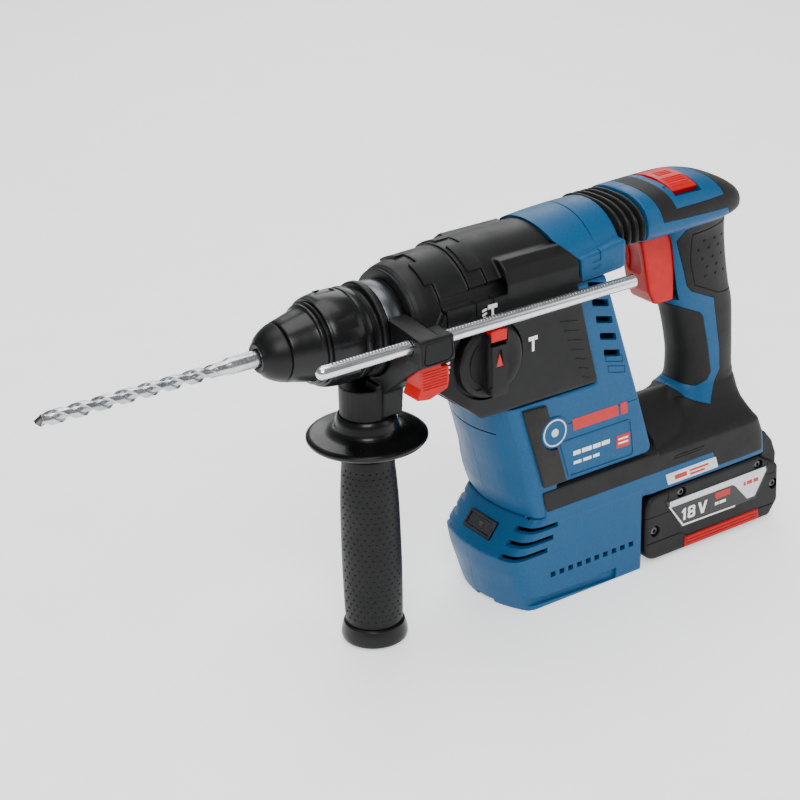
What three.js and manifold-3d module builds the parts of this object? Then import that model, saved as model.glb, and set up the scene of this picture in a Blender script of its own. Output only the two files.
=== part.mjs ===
// Cordless rotary hammer with a leaning motor housing, a D-handle and a slide-on battery.
// Millimetres, +Z up. +X runs from the chuck to the rear handle and y = 0 is the mid-plane.
// The origin is on the flat underside of the motor base, under the motor.
import * as THREE from 'three';
import { mergeVertices } from 'three/addons/utils/BufferGeometryUtils.js';
import Module from 'manifold-3d';

const wasm = await Module();
wasm.setup();

// ---- Clearances and walls -------------------------------------------------------------
const FIT = 0.35;          // gap between faces that rest on each other
const RUN = 0.5;           // clearance round a piece that turns or slides
const WALL = 3;            // moulded plastic wall
const SKIN = 2.2;          // thickness of a soft overmould

// ---- Driving dimensions ---------------------------------------------------------------
const SPINDLE_Z = 199.5;   // height of the spindle axis
const NOSE_X = -200;       // front of the dust cap
const BASE_HALF = 36.5;    // half width of the motor base and foot
const BASE_REAR = 50;      // rear face of the motor base
const LEDGE_Z = 61;        // top of the motor base at its front
const STRIP_Z = 65.4;      // lower edge of the soft strip
const SILL_Z = 78.8;       // top of the strip, where the hammer unit begins
const LEAN = THREE.MathUtils.degToRad(15.3);   // lean of the motor
const UNIT_HALF = 38;      // half width of the gear housing
const MOTOR_HALF = 36;     // half width of the leaning motor housing
const BARREL_R = 38.5;     // radius of the barrel at its rear
const FLOOR_Z = SPINDLE_Z - 59.7;              // underside of the gear housing
const BAY_REAR = 165.3;    // rear end of the battery
const BAY_TOP = 49.9;      // top of the battery case
const GRIP_HALF = 17;      // half width of the rear grip
const HEAD_HALF = GRIP_HALF + 13;              // half width of the handle head
const HEAD_TOP = SPINDLE_Z + 43.4;
const HEAD_BOTTOM = SPINDLE_Z + 12.5;
const HEAD_FRONT = 53.5;
const SHANK_R = 5;         // drill bit shank, 10 mm
const TUBE_R = 15.5;       // outside of the hammer tube
const TUBE_BORE = 12.2;    // bore in which piston and striker slide
const NECK_R = 25.4;       // cylinder that the side handle clamps on
const NECK_FRONT = -129.2;   // front of the strap's seat
const COLLAR_FRONT = -133.6; // front of the fixed collar behind the sleeve
const SLEEVE_TRAVEL = 4.5;
const COLLAR_R = 27.4;

const LIP_X = -116;        // front lip of the gear housing, rear end of the neck
const HANDLE_X = -130.5;   // axis of the side grip
const GUARD_R = 35.5;
const GUARD_Z = 135.5;
const SIDE_GRIP_R = 17.5;
const ROD_R = 3.9;         // depth rod
const ROD_Y = -46;
const ROD_Z = SPINDLE_Z + 3.6;
const ROD_FRONT = -190;
const ROD_LENGTH = 219;
const KNOB_X = -71;
const KNOB_Z = SPINDLE_Z - 22.5;
const KNOB_R = 22;
const SHAFT_DROP = 38;     // intermediate shaft below the spindle
const MODULE = 2;          // gear module
const SPINDLE_TEETH = 25;
const PINION_TEETH = 13;
const BEVEL_GEAR_SIDES = 24;     // plain faceted cones stand for the bevel teeth
const BEVEL_PINION_SIDES = 7;
const ROTOR_R = 15;
const STATOR_R = 28;

// ---- Finishes -------------------------------------------------------------------------
const finish = (color, roughness, metalness = 0) => ({ color, roughness, metalness });
const BLUE = finish(0x2a6d9e, 0.5);
const CHARCOAL = finish(0x3a3a3b, 0.6);
const RUBBER = finish(0x2e2e2f, 0.8);
const BLACK = finish(0x1b1b1c, 0.35);
const RED = finish(0xe0241e, 0.45);
const STEEL = finish(0xc9cbcd, 0.25, 1);
const DARK_STEEL = finish(0x77797c, 0.4, 1);
const COPPER = finish(0xb5713a, 0.4, 1);
const BOARD = finish(0x1f4d35, 0.6);
const LENS = finish(0xb8c4cc, 0.1);

// ---- Solids ---------------------------------------------------------------------------
function toSolid(geometry) {
  geometry.deleteAttribute('normal');
  geometry.deleteAttribute('uv');
  const merged = mergeVertices(geometry, 1e-4);
  const index = merged.index.array;
  const triangles = [];
  for (let i = 0; i < index.length; i += 3) {
    const [a, b, c] = [index[i], index[i + 1], index[i + 2]];
    if (a !== b && b !== c && c !== a) triangles.push(a, b, c);
  }
  return new wasm.Manifold(new wasm.Mesh({
    numProp: 3,
    vertProperties: Float32Array.from(merged.attributes.position.array),
    triVerts: Uint32Array.from(triangles),
  }));
}

function mesh(name, solid, look) {
  const data = solid.getMesh();
  const geometry = new THREE.BufferGeometry();
  geometry.setAttribute('position', new THREE.BufferAttribute(data.vertProperties, 3));
  geometry.setIndex(new THREE.BufferAttribute(data.triVerts, 1));
  geometry.computeVertexNormals();
  const result = new THREE.Mesh(geometry, new THREE.MeshStandardMaterial(look));
  result.name = name;
  return result;
}

const join = (...solids) => solids.reduce((sum, next) => sum.add(next));
const cut = (body, ...tools) => tools.reduce((rest, tool) => rest.subtract(tool), body);

function box(x0, x1, y0, y1, z0, z1) {
  const geometry = new THREE.BoxGeometry(x1 - x0, y1 - y0, z1 - z0);
  geometry.translate((x0 + x1) / 2, (y0 + y1) / 2, (z0 + z1) / 2);
  return toSolid(geometry);
}

// A cyclic swap of axes that keeps solids the right way out.
const TURN_AXES = {
  x: new THREE.Matrix4().set(0, 1, 0, 0, 0, 0, 1, 0, 1, 0, 0, 0, 0, 0, 0, 1),
  y: new THREE.Matrix4(),
  z: new THREE.Matrix4().set(0, 0, 1, 0, 1, 0, 0, 0, 0, 1, 0, 0, 0, 0, 0, 1),
};

// Revolves [radius, distance] points about an axis through the point at.
function turned(axis, at, profile, segments = 20) {
  const points = profile.map(([radius, along]) => new THREE.Vector2(radius, along));
  const geometry = new THREE.LatheGeometry(points, segments);
  geometry.applyMatrix4(TURN_AXES[axis]);
  geometry.translate(...at);
  return toSolid(geometry);
}

const rod = (axis, at, radius, from, to, segments = 20) => turned(
  axis, at, [[0, from], [radius, from], [radius, to], [0, to]], segments);

const pipe = (axis, at, inner, outer, from, to, segments = 20) => turned(
  axis, at, [[inner, from], [outer, from], [outer, to], [inner, to], [inner, from]], segments);

// A closed outline whose corners [x, y, radius] are rounded by arcs.
function outline(corners, steps = 3) {
  const points = [];
  corners.forEach(([x, y, radius = 0], i) => {
    const corner = new THREE.Vector2(x, y);
    if (radius === 0) {
      points.push(corner);
      return;
    }
    const before = corners[(i + corners.length - 1) % corners.length];
    const after = corners[(i + 1) % corners.length];
    const toBefore = new THREE.Vector2(before[0] - x, before[1] - y).normalize();
    const toAfter = new THREE.Vector2(after[0] - x, after[1] - y).normalize();
    const half = toBefore.angleTo(toAfter) / 2;
    const reach = radius / Math.tan(half);
    const start = corner.clone().addScaledVector(toBefore, reach);
    const end = corner.clone().addScaledVector(toAfter, reach);
    const curve = new THREE.QuadraticBezierCurve(start, corner, end);
    points.push(...curve.getPoints(steps));
  });
  return new THREE.Shape(points);
}

function extruded(shape, depth, bevel) {
  return new THREE.ExtrudeGeometry(shape, {
    depth: depth - 2 * bevel,
    bevelEnabled: bevel > 0,
    bevelThickness: bevel,
    bevelSize: bevel,
    bevelOffset: -bevel,
    bevelSegments: 2,
    curveSegments: 6,
  }).translate(0, 0, bevel);
}

// Outline in (x, z), extruded along y from y0 to y1.
function plate(shape, y0, y1, bevel = 0) {
  const geometry = extruded(shape, y1 - y0, bevel);
  geometry.rotateX(Math.PI / 2);
  geometry.translate(0, y1, 0);
  return toSolid(geometry);
}

// Outline in (x, y), extruded along z from z0 to z1.
function slab(shape, z0, z1, bevel = 0) {
  const geometry = extruded(shape, z1 - z0, bevel);
  geometry.translate(0, 0, z0);
  return toSolid(geometry);
}

// Outline in (y, z), extruded along x from x0 to x1.
function frontal(shape, x0, x1, bevel = 0) {
  const geometry = extruded(shape, x1 - x0, bevel);
  geometry.applyMatrix4(TURN_AXES.z);
  geometry.translate(x0, 0, 0);
  return toSolid(geometry);
}

// Skins rings of Vector3, all with the same number of points, and closes both ends.
function loft(rings) {
  const count = rings[0].length;
  const positions = rings.flat().flatMap((point) => point.toArray());
  const index = [];
  for (let r = 0; r < rings.length - 1; r += 1) {
    for (let i = 0; i < count; i += 1) {
      const a = r * count + i;
      const b = r * count + (i + 1) % count;
      index.push(a, b, b + count, a, b + count, a + count);
    }
  }
  const last = (rings.length - 1) * count;
  for (let i = 1; i < count - 1; i += 1) {
    index.push(0, i + 1, i);
    index.push(last, last + i, last + i + 1);
  }
  if (signedVolume(positions, index) < 0) index.reverse();
  const geometry = new THREE.BufferGeometry();
  geometry.setAttribute('position', new THREE.Float32BufferAttribute(positions, 3));
  geometry.setIndex(index);
  return toSolid(geometry);
}

function signedVolume(positions, index) {
  const at = (i) => new THREE.Vector3().fromArray(positions, 3 * i);
  let sum = 0;
  for (let i = 0; i < index.length; i += 3) {
    sum += at(index[i]).dot(at(index[i + 1]).cross(at(index[i + 2])));
  }
  return sum;
}

// A point on a rounded rectangle of the given half sizes. Power 2 is an ellipse.
function ovalPoint(angle, halfU, halfV, power) {
  const [c, s] = [Math.cos(angle), Math.sin(angle)];
  const round = (value) => Math.sign(value) * Math.abs(value) ** (2 / power);
  return [halfU * round(c), halfV * round(s)];
}

const turns = (count, offset = 0) => Array.from({ length: count },
  (_, i) => ((i + offset) / count) * 2 * Math.PI);

// A level ring from x0 to x1 with half width half.
function levelRing(z, x0, x1, half, power, count = 16) {
  return turns(count, 0.5).map((angle) => {
    const [u, v] = ovalPoint(angle, (x1 - x0) / 2, half, power);
    return new THREE.Vector3((x0 + x1) / 2 + u, v, z);
  });
}

// A toothed outline. A tooth is widest at the pitch circle's foot and narrow at its tip.
function gearOutline(teeth, phase) {
  const pitch = (MODULE * teeth) / 2;
  const root = pitch - 1.15 * MODULE;
  const tip = pitch + 0.8 * MODULE;
  const step = (2 * Math.PI) / teeth;
  const points = [];
  for (let i = 0; i < teeth; i += 1) {
    const middle = (i + phase) * step;
    [[-0.27, root], [-0.09, tip], [0.09, tip], [0.27, root]].forEach(([share, radius]) => {
      const angle = middle + share * step;
      points.push(new THREE.Vector2(radius * Math.cos(angle), radius * Math.sin(angle)));
    });
  }
  return new THREE.Shape(points);
}

// ---- Handle frame: motor base, foot, D-handle and head ----------------------------------
// Level stations of the motor base: height, front at the mid-plane, front at the corners.
const BASE_STATIONS = [
  [0, -52, -43.5],
  [10, -55, -47],
  [27, -58.6, -52.5],
  [38, -60.4, -54.5],
  [LEDGE_Z, -42, -36.5],
];

function baseRing([z, front, corner], inset, lift = 0) {
  const half = BASE_HALF - inset;
  const nose = front + inset;
  const side = corner + inset;
  const rear = BASE_REAR - inset;
  const flat = half - 6;
  const arc = [-1, -0.6, -0.2, 0.2, 0.6, 1].map((share) => [
    nose + (side - nose) * share * share, share * flat]);
  const corners = [
    [rear, half - 3], [rear - 3, half], [side + 8, half], [side + 3, half - 1.6],
    ...arc.reverse(),
    [side + 3, 1.6 - half], [side + 8, -half], [rear - 3, -half], [rear, 3 - half],
  ];
  return corners.map(([x, y]) => new THREE.Vector3(x, y, z + lift));
}

const baseForm = (inset) => loft(BASE_STATIONS.map((station, i) => baseRing(
  station, inset, i === 0 ? inset : 0)));

// The collar round the motor's foot, open inside, that carries the strip. Its front edge
// leans with the seam between the motor housing and the frame.
const seamX = (z) => -31.3 + (SILL_Z - z) * 0.162;
const collarForm = (inset) => plate(outline([
  [seamX(SILL_Z), SILL_Z], [seamX(LEDGE_Z - 5), LEDGE_Z - 5], [60, LEDGE_Z - 5],
  [60, SILL_Z]]),
inset - BASE_HALF - 0.3, BASE_HALF + 0.3 - inset);

const FOOT_FRONT = 44;
const FOOT_UNDER = BAY_TOP + 0.6;
const footForm = (inset) => loft([
  levelRing(FOOT_UNDER + inset, FOOT_FRONT + inset, 158 - inset, BASE_HALF - inset, 9),
  levelRing(STRIP_Z, FOOT_FRONT + inset, 154 - inset, BASE_HALF + 0.3 - inset, 9),
  levelRing(SILL_Z - 1.5, FOOT_FRONT + inset, 149 - inset, BASE_HALF + 0.3 - inset, 9),
  levelRing(SILL_Z, 59 + inset, 148 - inset, BASE_HALF - 1 - inset, 7),
  levelRing(SILL_Z + 9, 60 + inset, 146.5 - inset, 27 - inset, 4),
  levelRing(101 - inset, 66 + inset, 147.5 - inset, 19 - inset, 3),
]);

// Level stations of the grip: height, front, rear and half width.
const GRIP_STATIONS = [
  [96, 99.5, 148, GRIP_HALF + 1],
  [108, 101, 147, GRIP_HALF],
  [125, 101, 146.2, GRIP_HALF],
  [SPINDLE_Z - 48, 95, 145, GRIP_HALF],
  [SPINDLE_Z - 34, 88.5, 141.5, GRIP_HALF + 0.5],
  [SPINDLE_Z - 15, 85.5, 137.5, GRIP_HALF + 1.5],
  [SPINDLE_Z + 4, 83.5, 134.5, GRIP_HALF + 3],
  [HEAD_BOTTOM + 2, 80, 133, GRIP_HALF + 6],
];
const gripForm = (inset) => loft(GRIP_STATIONS.map(([z, front, rear, half]) => levelRing(
  z, front + inset, rear - inset, half - inset, 2.3)));

// Upright stations of the head: x, half width, top and bottom.
const HEAD_MIDDLE = SPINDLE_Z + 23;
const HEAD_STATIONS = [
  [HEAD_FRONT, HEAD_HALF, HEAD_TOP - 0.8, HEAD_BOTTOM],
  [80, HEAD_HALF, HEAD_TOP, HEAD_BOTTOM],
  [104, HEAD_HALF - 1, HEAD_TOP, HEAD_BOTTOM],
  [122, HEAD_HALF - 3, HEAD_TOP - 4, HEAD_BOTTOM + 1],
  [134, HEAD_HALF - 8, HEAD_TOP - 10, HEAD_BOTTOM + 3],
  [140, HEAD_HALF - 17, HEAD_TOP - 16, HEAD_BOTTOM + 6],
];

function uprightRing(x, half, top, bottom, middle, power, count = 16) {
  return turns(count, 0.5).map((angle) => {
    const height = Math.sin(angle) > 0 ? top - middle : middle - bottom;
    const [u, v] = ovalPoint(angle, half, height, power);
    return new THREE.Vector3(x, u, middle + v);
  });
}

const headForm = (inset) => loft(HEAD_STATIONS.map(([x, half, top, bottom], i) => {
  const shift = [inset, 0, 0, 0, -inset / 2, -inset][i];
  return uprightRing(x + shift, half - inset, top - inset, bottom + inset, HEAD_MIDDLE, 2.4);
}));

const frameForm = (inset) => join(
  baseForm(inset), collarForm(inset), footForm(inset), gripForm(inset), headForm(inset));

// Regions, seen from the side, that a soft overmould covers.
const FOOT_REGION = [
  [-33, SILL_Z + 1], [-27.8, STRIP_Z], [106, STRIP_Z], [110, 54.5], [170, 54.5], [170, 125],
  [126.6, 125], [127.6, 110], [114.8, 91], [107, 94], [100, 97], [96, 103], [40, 103],
];
const REAR_REGION = [
  [170, 125 + FIT], [170, HEAD_BOTTOM - 2], [122, HEAD_BOTTOM + 4.8], [119, HEAD_BOTTOM + 5],
  [96, HEAD_BOTTOM + 2],
  [87.4, HEAD_BOTTOM], [88.4, SPINDLE_Z + 7], [96.2, SPINDLE_Z - 26], [99.6, SPINDLE_Z - 30],
  [120, SPINDLE_Z - 38.5], [126.6, 125 + FIT],
];
const FRONT_REGION = [
  [60, SPINDLE_Z - 36], [78, SPINDLE_Z - 35], [94.3, SPINDLE_Z - 40], [109.5, SPINDLE_Z - 46.5],
  [112, SPINDLE_Z - 50], [116.4, 130], [119.9, 110], [117, 105.5], [109, 103], [102, 104.5],
  [96, 108], [60, 108],
];
const HEAD_REGION = [
  [60.5, HEAD_TOP + 9], [65.5, SPINDLE_Z + 26.5], [119, SPINDLE_Z + 24],
  [122, SPINDLE_Z + 18.2], [150, SPINDLE_Z + 14.5], [150, HEAD_TOP + 9], [112, HEAD_TOP + 9],
  [117, SPINDLE_Z + 32], [76.5, SPINDLE_Z + 32], [72, HEAD_TOP + 9],
];
const region = (corners) => plate(outline(corners), -60, 60);

// A region's outline moved outwards, so that the frame keeps a gap round its overmould.
function grownRegion(corners) {
  const shape = outline(corners);
  const geometry = new THREE.ExtrudeGeometry(shape, {
    depth: 118, bevelEnabled: true, bevelThickness: 1, bevelSize: FIT, bevelSegments: 1,
  });
  geometry.rotateX(Math.PI / 2);
  geometry.translate(0, 59, 0);
  return toSolid(geometry);
}

const TRIGGER_HALF = 12;
const TRIGGER_TRAVEL = 8;
const TRIGGER_TOP = SPINDLE_Z + 11;
const TRIGGER_FOOT = SPINDLE_Z - 35.2;
const triggerPocket = () => box(
  50, 92 + TRIGGER_TRAVEL + RUN, -TRIGGER_HALF - RUN, TRIGGER_HALF + RUN,
  TRIGGER_FOOT - RUN, TRIGGER_TOP + RUN);

// The reversing slide is an arc about an axis along x, in a matching recess of the head.
const SLIDE_R = 51;
const SLIDE_Z = HEAD_TOP + 0.9 - SLIDE_R;
const SLIDE_SWEEP = 23;
const SLIDE_TRAVEL = 4;
function arcBlock(x0, x1, inner, outer, degrees) {
  const half = THREE.MathUtils.degToRad(degrees);
  const shape = new THREE.Shape();
  shape.absarc(0, 0, outer, Math.PI / 2 - half, Math.PI / 2 + half, false);
  shape.absarc(0, 0, inner, Math.PI / 2 + half, Math.PI / 2 - half, true);
  shape.closePath();
  const geometry = new THREE.ExtrudeGeometry(shape, {
    depth: x1 - x0, bevelEnabled: false, curveSegments: 8 });
  geometry.applyMatrix4(TURN_AXES.z);
  geometry.translate(x0, 0, SLIDE_Z);
  return toSolid(geometry);
}

// The channel under the foot for the battery's rails, and the cavities of the shells.
const RAIL_HALF = 27;
const RAIL_TOP = 58;
const railChannel = () => box(
  52, 170, -RAIL_HALF - RUN, RAIL_HALF + RUN, FOOT_UNDER - 5, RAIL_TOP + RUN);

const motorWell = () => join(
  loft([
    baseRing([WALL, -54, -45], WALL),
    baseRing([27, -58.6, -52.5], WALL),
    baseRing([38, -60.4, -54.5], WALL),
    baseRing([LEDGE_Z, -42, -36.5], WALL),
    baseRing([LEDGE_Z + 1, -42, -36.5], WALL),
  ]),
  box(-45, BASE_REAR - WALL, -30.6, 30.6, LEDGE_Z - 4, SILL_Z + 3));

const gripCavity = () => join(
  loft([
    levelRing(88, 107, 140, 11, 5, 16),
    levelRing(125, 107, 140, 11, 5, 16),
    levelRing(SPINDLE_Z - 34, 97, 135, 11.5, 5, 16),
    levelRing(SPINDLE_Z + 8, 97, 131, 11.5, 5, 16),
  ]),
  box(57, 118, -HEAD_HALF + 9, HEAD_HALF - 9, HEAD_BOTTOM + 4, SLIDE_Z + SLIDE_R - 11),
  box(66, 138, -24, 24, RAIL_TOP + 4, SILL_Z + 4),
  box(90, 130, -10, 10, SILL_Z, 92));

const LIGHT_TILT = Math.atan2(18.4, LEDGE_Z - 38);
function lightBlock(halfHeight, halfWidth, from, to) {
  const geometry = new THREE.BoxGeometry(to - from, 2 * halfWidth, 2 * halfHeight);
  geometry.translate(-(from + to) / 2, 0, 0);
  geometry.rotateY(LIGHT_TILT);
  geometry.translate(-51.2, 0, 49.8);
  return toSolid(geometry);
}

// Three slots wrap round each front corner of the base, to let cooling air in.
function wrapSlots() {
  const slots = [];
  for (const side of [-1, 1]) {
    for (const [x, z] of [[-19.5, 54.8], [-23, 47], [-27.5, 39.4]]) {
      slots.push(box(x - 32, x, side < 0 ? -40 : 24.5, side < 0 ? -24.5 : 40, z - 2, z + 1.4));
    }
  }
  return slots;
}

const SEAM_Y = 2;
function frameShells() {
  const softCore = frameForm(SKIN + FIT);
  const hard = join(
    cut(frameForm(0), grownRegion(FOOT_REGION), grownRegion(REAR_REGION),
      grownRegion(FRONT_REGION), grownRegion(HEAD_REGION)),
    softCore);
  const body = cut(hard, motorWell(), gripCavity(), triggerPocket(), railChannel(),
    arcBlock(79.5, 100.5, SLIDE_R - 4.5, SLIDE_R + 4, SLIDE_SWEEP + SLIDE_TRAVEL + 1),
    lightBlock(5.8 + FIT, 13 + FIT, -9, 9), ...wrapSlots());
  return {
    left: body.intersect(box(-90, 180, -60, SEAM_Y - FIT, -10, HEAD_TOP + 20)),
    right: body.intersect(box(-90, 180, SEAM_Y, 60, -10, HEAD_TOP + 20)),
  };
}

const overmould = (corners, ...tools) => cut(
  cut(frameForm(0), frameForm(SKIN)).intersect(region(corners)), ...tools);

const footOvermould = () => overmould(FOOT_REGION, railChannel(),
  box(-45, 60, -34, 34, 40, SILL_Z + 3));
const headOvermould = () => overmould(HEAD_REGION);
const rearOvermould = () => overmould(REAR_REGION, triggerPocket());
const frontOvermould = () => overmould(FRONT_REGION, triggerPocket());

const switchUnit = () => join(
  box(102.5, 126, -9.5, 9.5, SPINDLE_Z - 30, SPINDLE_Z + 4),
  box(108, 122, -7, 7, SPINDLE_Z - 40, SPINDLE_Z - 29));

const terminalBlock = () => join(
  box(52.6, 57, -20, 20, FOOT_UNDER, RAIL_TOP),
  box(56, 64, -15, -13.8, 52, 56),
  box(56, 64, -5, -3.8, 52, 56),
  box(56, 64, 3.8, 5, 52, 56),
  box(56, 64, 13.8, 15, 52, 56));

const motorController = () => join(
  box(-38, 44, -26, 26, WALL + FIT, WALL + 5),
  box(-34, -14, -22, 22, WALL + 4, 17),
  box(-4, 26, -12, 12, WALL + 4, 13));

const lightBezel = () => cut(lightBlock(5.8, 13, -3, 0.4), lightBlock(4.2, 11.4, -1.4, 5));
const lightLens = () => lightBlock(4.2 - FIT, 11.4 - FIT, -1.4 + FIT, -0.2);

// ---- Trigger and reversing slide ---------------------------------------------------------
const trigger = () => join(
  plate(outline([
    [53.5, TRIGGER_TOP, 4], [58.6, SPINDLE_Z - 12], [61, SPINDLE_Z - 29, 6],
    [74, TRIGGER_FOOT, 5], [92, TRIGGER_FOOT], [92, TRIGGER_TOP],
  ]), -TRIGGER_HALF, TRIGGER_HALF, 2));

const reversingSlide = () => cut(
  arcBlock(80, 100, SLIDE_R - 4, SLIDE_R + 0.3, SLIDE_SWEEP),
  box(84, 85.2, -30, 30, SLIDE_Z + SLIDE_R - 0.6, SLIDE_Z + SLIDE_R + 3),
  box(89.4, 90.6, -30, 30, SLIDE_Z + SLIDE_R - 0.6, SLIDE_Z + SLIDE_R + 3),
  box(94.8, 96, -30, 30, SLIDE_Z + SLIDE_R - 0.6, SLIDE_Z + SLIDE_R + 3));

// ---- Hammer unit: gear housing, motor housing, rear cover, bellows -----------------------
const COVER_BOTTOM = SPINDLE_Z + 7.6;
const GEAR_REAR = [
  [9.3, FLOOR_Z], [2.9, SPINDLE_Z - 36.2], [-5, SPINDLE_Z - 2.7], [-7.3, SPINDLE_Z + 7.2],
];
const AXIS = [0, 0, SPINDLE_Z];

// The rear cover's side of its slanting joint with the gear housing.
const coverZone = (gap) => plate(outline([
  [-3.6 + gap, COVER_BOTTOM + gap], [-3.6 + gap, SPINDLE_Z + 20.4],
  [-15.2 + gap, SPINDLE_Z + 31.8], [-22 + gap, SPINDLE_Z + 60],
  [70, SPINDLE_Z + 60], [70, COVER_BOTTOM + gap]]), -60, 60);

function gearHousing() {
  const barrel = turned('x', AXIS, [
    [0, LIP_X], [30.5, LIP_X], [32, LIP_X + 2.5], [33.6, LIP_X + 9], [34.4, LIP_X + 17],
    [35.4, LIP_X + 17.5], [36, LIP_X + 37], [37.2, LIP_X + 37.5], [37.4, LIP_X + 49],
    [BARREL_R, LIP_X + 49.5], [BARREL_R, 0], [0, 0]], 32);
  const body = plate(outline([
    [-112, SPINDLE_Z - 27, 6], [-98, SPINDLE_Z - 40, 10], [-76, FLOOR_Z + 1, 6],
    [18, FLOOR_Z], [18, SPINDLE_Z + 12], [-60, SPINDLE_Z + 12], [-112, SPINDLE_Z],
  ]), -UNIT_HALF, UNIT_HALF);
  const plan = slab(outline([
    [LIP_X, -25, 2], [-100, -32, 8], [-84, -UNIT_HALF, 8], [14, -UNIT_HALF],
    [14, UNIT_HALF], [-84, UNIT_HALF, 8], [-100, 32, 8], [LIP_X, 25, 2],
  ]), FLOOR_Z - 5, SPINDLE_Z + 60);
  const tunnels = plate(outline([
    [-57, SPINDLE_Z + 5], [2, SPINDLE_Z + 5], [2, SPINDLE_Z + 31], [-57, SPINDLE_Z + 31],
  ]), -UNIT_HALF, UNIT_HALF, 2).intersect(box(-60, -5.5, -60, 60, 0, 300));
  const outside = join(barrel, body.intersect(plan), tunnels,
    rod('x', AXIS, NECK_R, NECK_FRONT - 1, LIP_X + 2, 32),
    rod('x', AXIS, COLLAR_R, COLLAR_FRONT, NECK_FRONT, 32),
    rod('x', AXIS, NECK_R - 0.8, COLLAR_FRONT - 7.4, COLLAR_FRONT + 1, 32));
  const spindleRoom = turned('x', AXIS, [
    [0, COLLAR_FRONT - 9], [20.5, COLLAR_FRONT - 9], [20.5, -112], [30.5, -100], [32, -60],
    [32, 20], [0, 20]], 32);
  const shaftRoom = box(-92, 20, -29, 29, FLOOR_Z + 5, SPINDLE_Z);
  const pinionDoor = rod('z', [-14, 0, 0], 17, FLOOR_Z - 5, FLOOR_Z + 12);
  const knobSeat = rod('y', [KNOB_X, 0, KNOB_Z], KNOB_R + RUN, -UNIT_HALF - 12, 4 - UNIT_HALF, 28);
  const knobHole = rod('y', [KNOB_X, 0, KNOB_Z], 6 + RUN, -UNIT_HALF - 2, 14 - UNIT_HALF, 16);
  const holeReach = BARREL_R - 1.8;
  const rodHole = rod('x', [0, -0.861 * holeReach, SPINDLE_Z + 0.507 * holeReach], 4.6, -60, -14, 12);
  const shaftBore = rod('x', SHAFT_AXIS, 5 + FIT, -98, -90, 16);
  const motorZone = plate(outline([...GEAR_REAR, [-4.2, SPINDLE_Z + 7.2],
    [-3.2, COVER_BOTTOM + 2], [30, COVER_BOTTOM + 2], [30, FLOOR_Z - 2],
    [9.5, FLOOR_Z - 2]]), -60, 60);
  return cut(outside, coverZone(0), motorZone, spindleRoom, shaftRoom, shaftBore,
    pinionDoor, knobSeat, knobHole, rodHole);
}

// The leaning motor housing, seen from the side.
const SWING_GAP = 0.7;     // room for the hammer unit to rock on its damped pivot
const MOTOR_OUTLINE = [
  [-42, LEDGE_Z + FIT], [-47, 76, 8], [-51, 92],
  [-64.3, FLOOR_Z - FIT], [9.7, FLOOR_Z - FIT],
  ...GEAR_REAR.slice(1).map(([x, z]) => [x + FIT + 0.1, z]),
  [16.3, SPINDLE_Z + 7.2, 2], [43.8, 120], [51.7, 94], [55.6, SILL_Z + 1.6, 5],
  [seamX(SILL_Z) - SWING_GAP, SILL_Z + 1.6], [seamX(LEDGE_Z) - SWING_GAP, LEDGE_Z + FIT],
];
const axisPoint = (along) => [
  3.8 - along * Math.sin(LEAN), 0, 78 + along * Math.cos(LEAN)];

// Revolves a profile about the motor's leaning axis. Distance 0 is at the sill.
function leaning(profile, segments = 20) {
  const points = profile.map(([radius, along]) => new THREE.Vector2(radius, along));
  const geometry = new THREE.LatheGeometry(points, segments);
  geometry.applyMatrix4(TURN_AXES.z);
  geometry.rotateY(-LEAN);
  geometry.translate(...axisPoint(0));
  return toSolid(geometry);
}

const leaningRing = (inner, outer, from, to, segments = 20) => leaning(
  [[inner, from], [outer, from], [outer, to], [inner, to], [inner, from]], segments);

// A tall form whose front is a shallow arc between rounded corners and leans with the motor.
function noseForm(inset) {
  const half = MOTOR_HALF - inset;
  return loft([LEDGE_Z - 2, SPINDLE_Z + 20].map((z) => {
    const nose = -41.6 + inset - (z - LEDGE_Z) * Math.tan(LEAN);
    const arc = [-1, -0.6, -0.2, 0.2, 0.6, 1].map((share) => [
      nose + 6.5 * share * share, share * (half - 5)]);
    const corners = [[80, half], [nose + 15, half], [nose + 9, half - 1.5],
      ...arc.reverse(), [nose + 9, 1.5 - half], [nose + 15, -half], [80, -half]];
    return corners.map(([x, y]) => new THREE.Vector3(x, y, z));
  }));
}

function motorHousing(side) {
  const form = plate(outline(MOTOR_OUTLINE), -MOTOR_HALF, MOTOR_HALF);
  const inside = join(
    plate(outline([
      [-39, LEDGE_Z - 1], [-44, 76], [-60.5, FLOOR_Z - 4], [5, FLOOR_Z - 4],
      [-1, SPINDLE_Z - 3], [-1, SPINDLE_Z + 4], [13, SPINDLE_Z + 4], [40, 120], [51, SILL_Z + 5],
      [-33, SILL_Z + 5], [-31, LEDGE_Z - 1]]), WALL - MOTOR_HALF, MOTOR_HALF - WALL)
      .intersect(noseForm(WALL)),
    box(-45, BASE_REAR, -29.8, 29.8, LEDGE_Z - 6, SILL_Z + 8));
  const openTop = box(-26, -2, -14, 14, FLOOR_Z - 8, FLOOR_Z + 2);
  const shell = cut(form.intersect(noseForm(0)), inside, openTop, ...louvres());
  const can = cut(
    leaning([[0, -45], [14, -45], [30, -36], [30, 30], [0, 30]], 32),
    leaning([[0, -43], [11.5, -43], [11.5, -35], [28.6, -33], [28.6, 40], [0, 40]], 32));
  const ribs = box(-30, 40, -MOTOR_HALF + 1, MOTOR_HALF - 1, 92, 95);
  const ribRoom = leaning([[0, -60], [29.4, -60], [29.4, 60], [0, 60]], 32);
  const whole = join(shell, can, cut(ribs, ribRoom));
  const half = side < 0 ? box(-90, 90, -60, -FIT / 2, 0, 300) : box(-90, 90, FIT / 2, 60, 0, 300);
  return whole.intersect(half);
}

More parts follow.
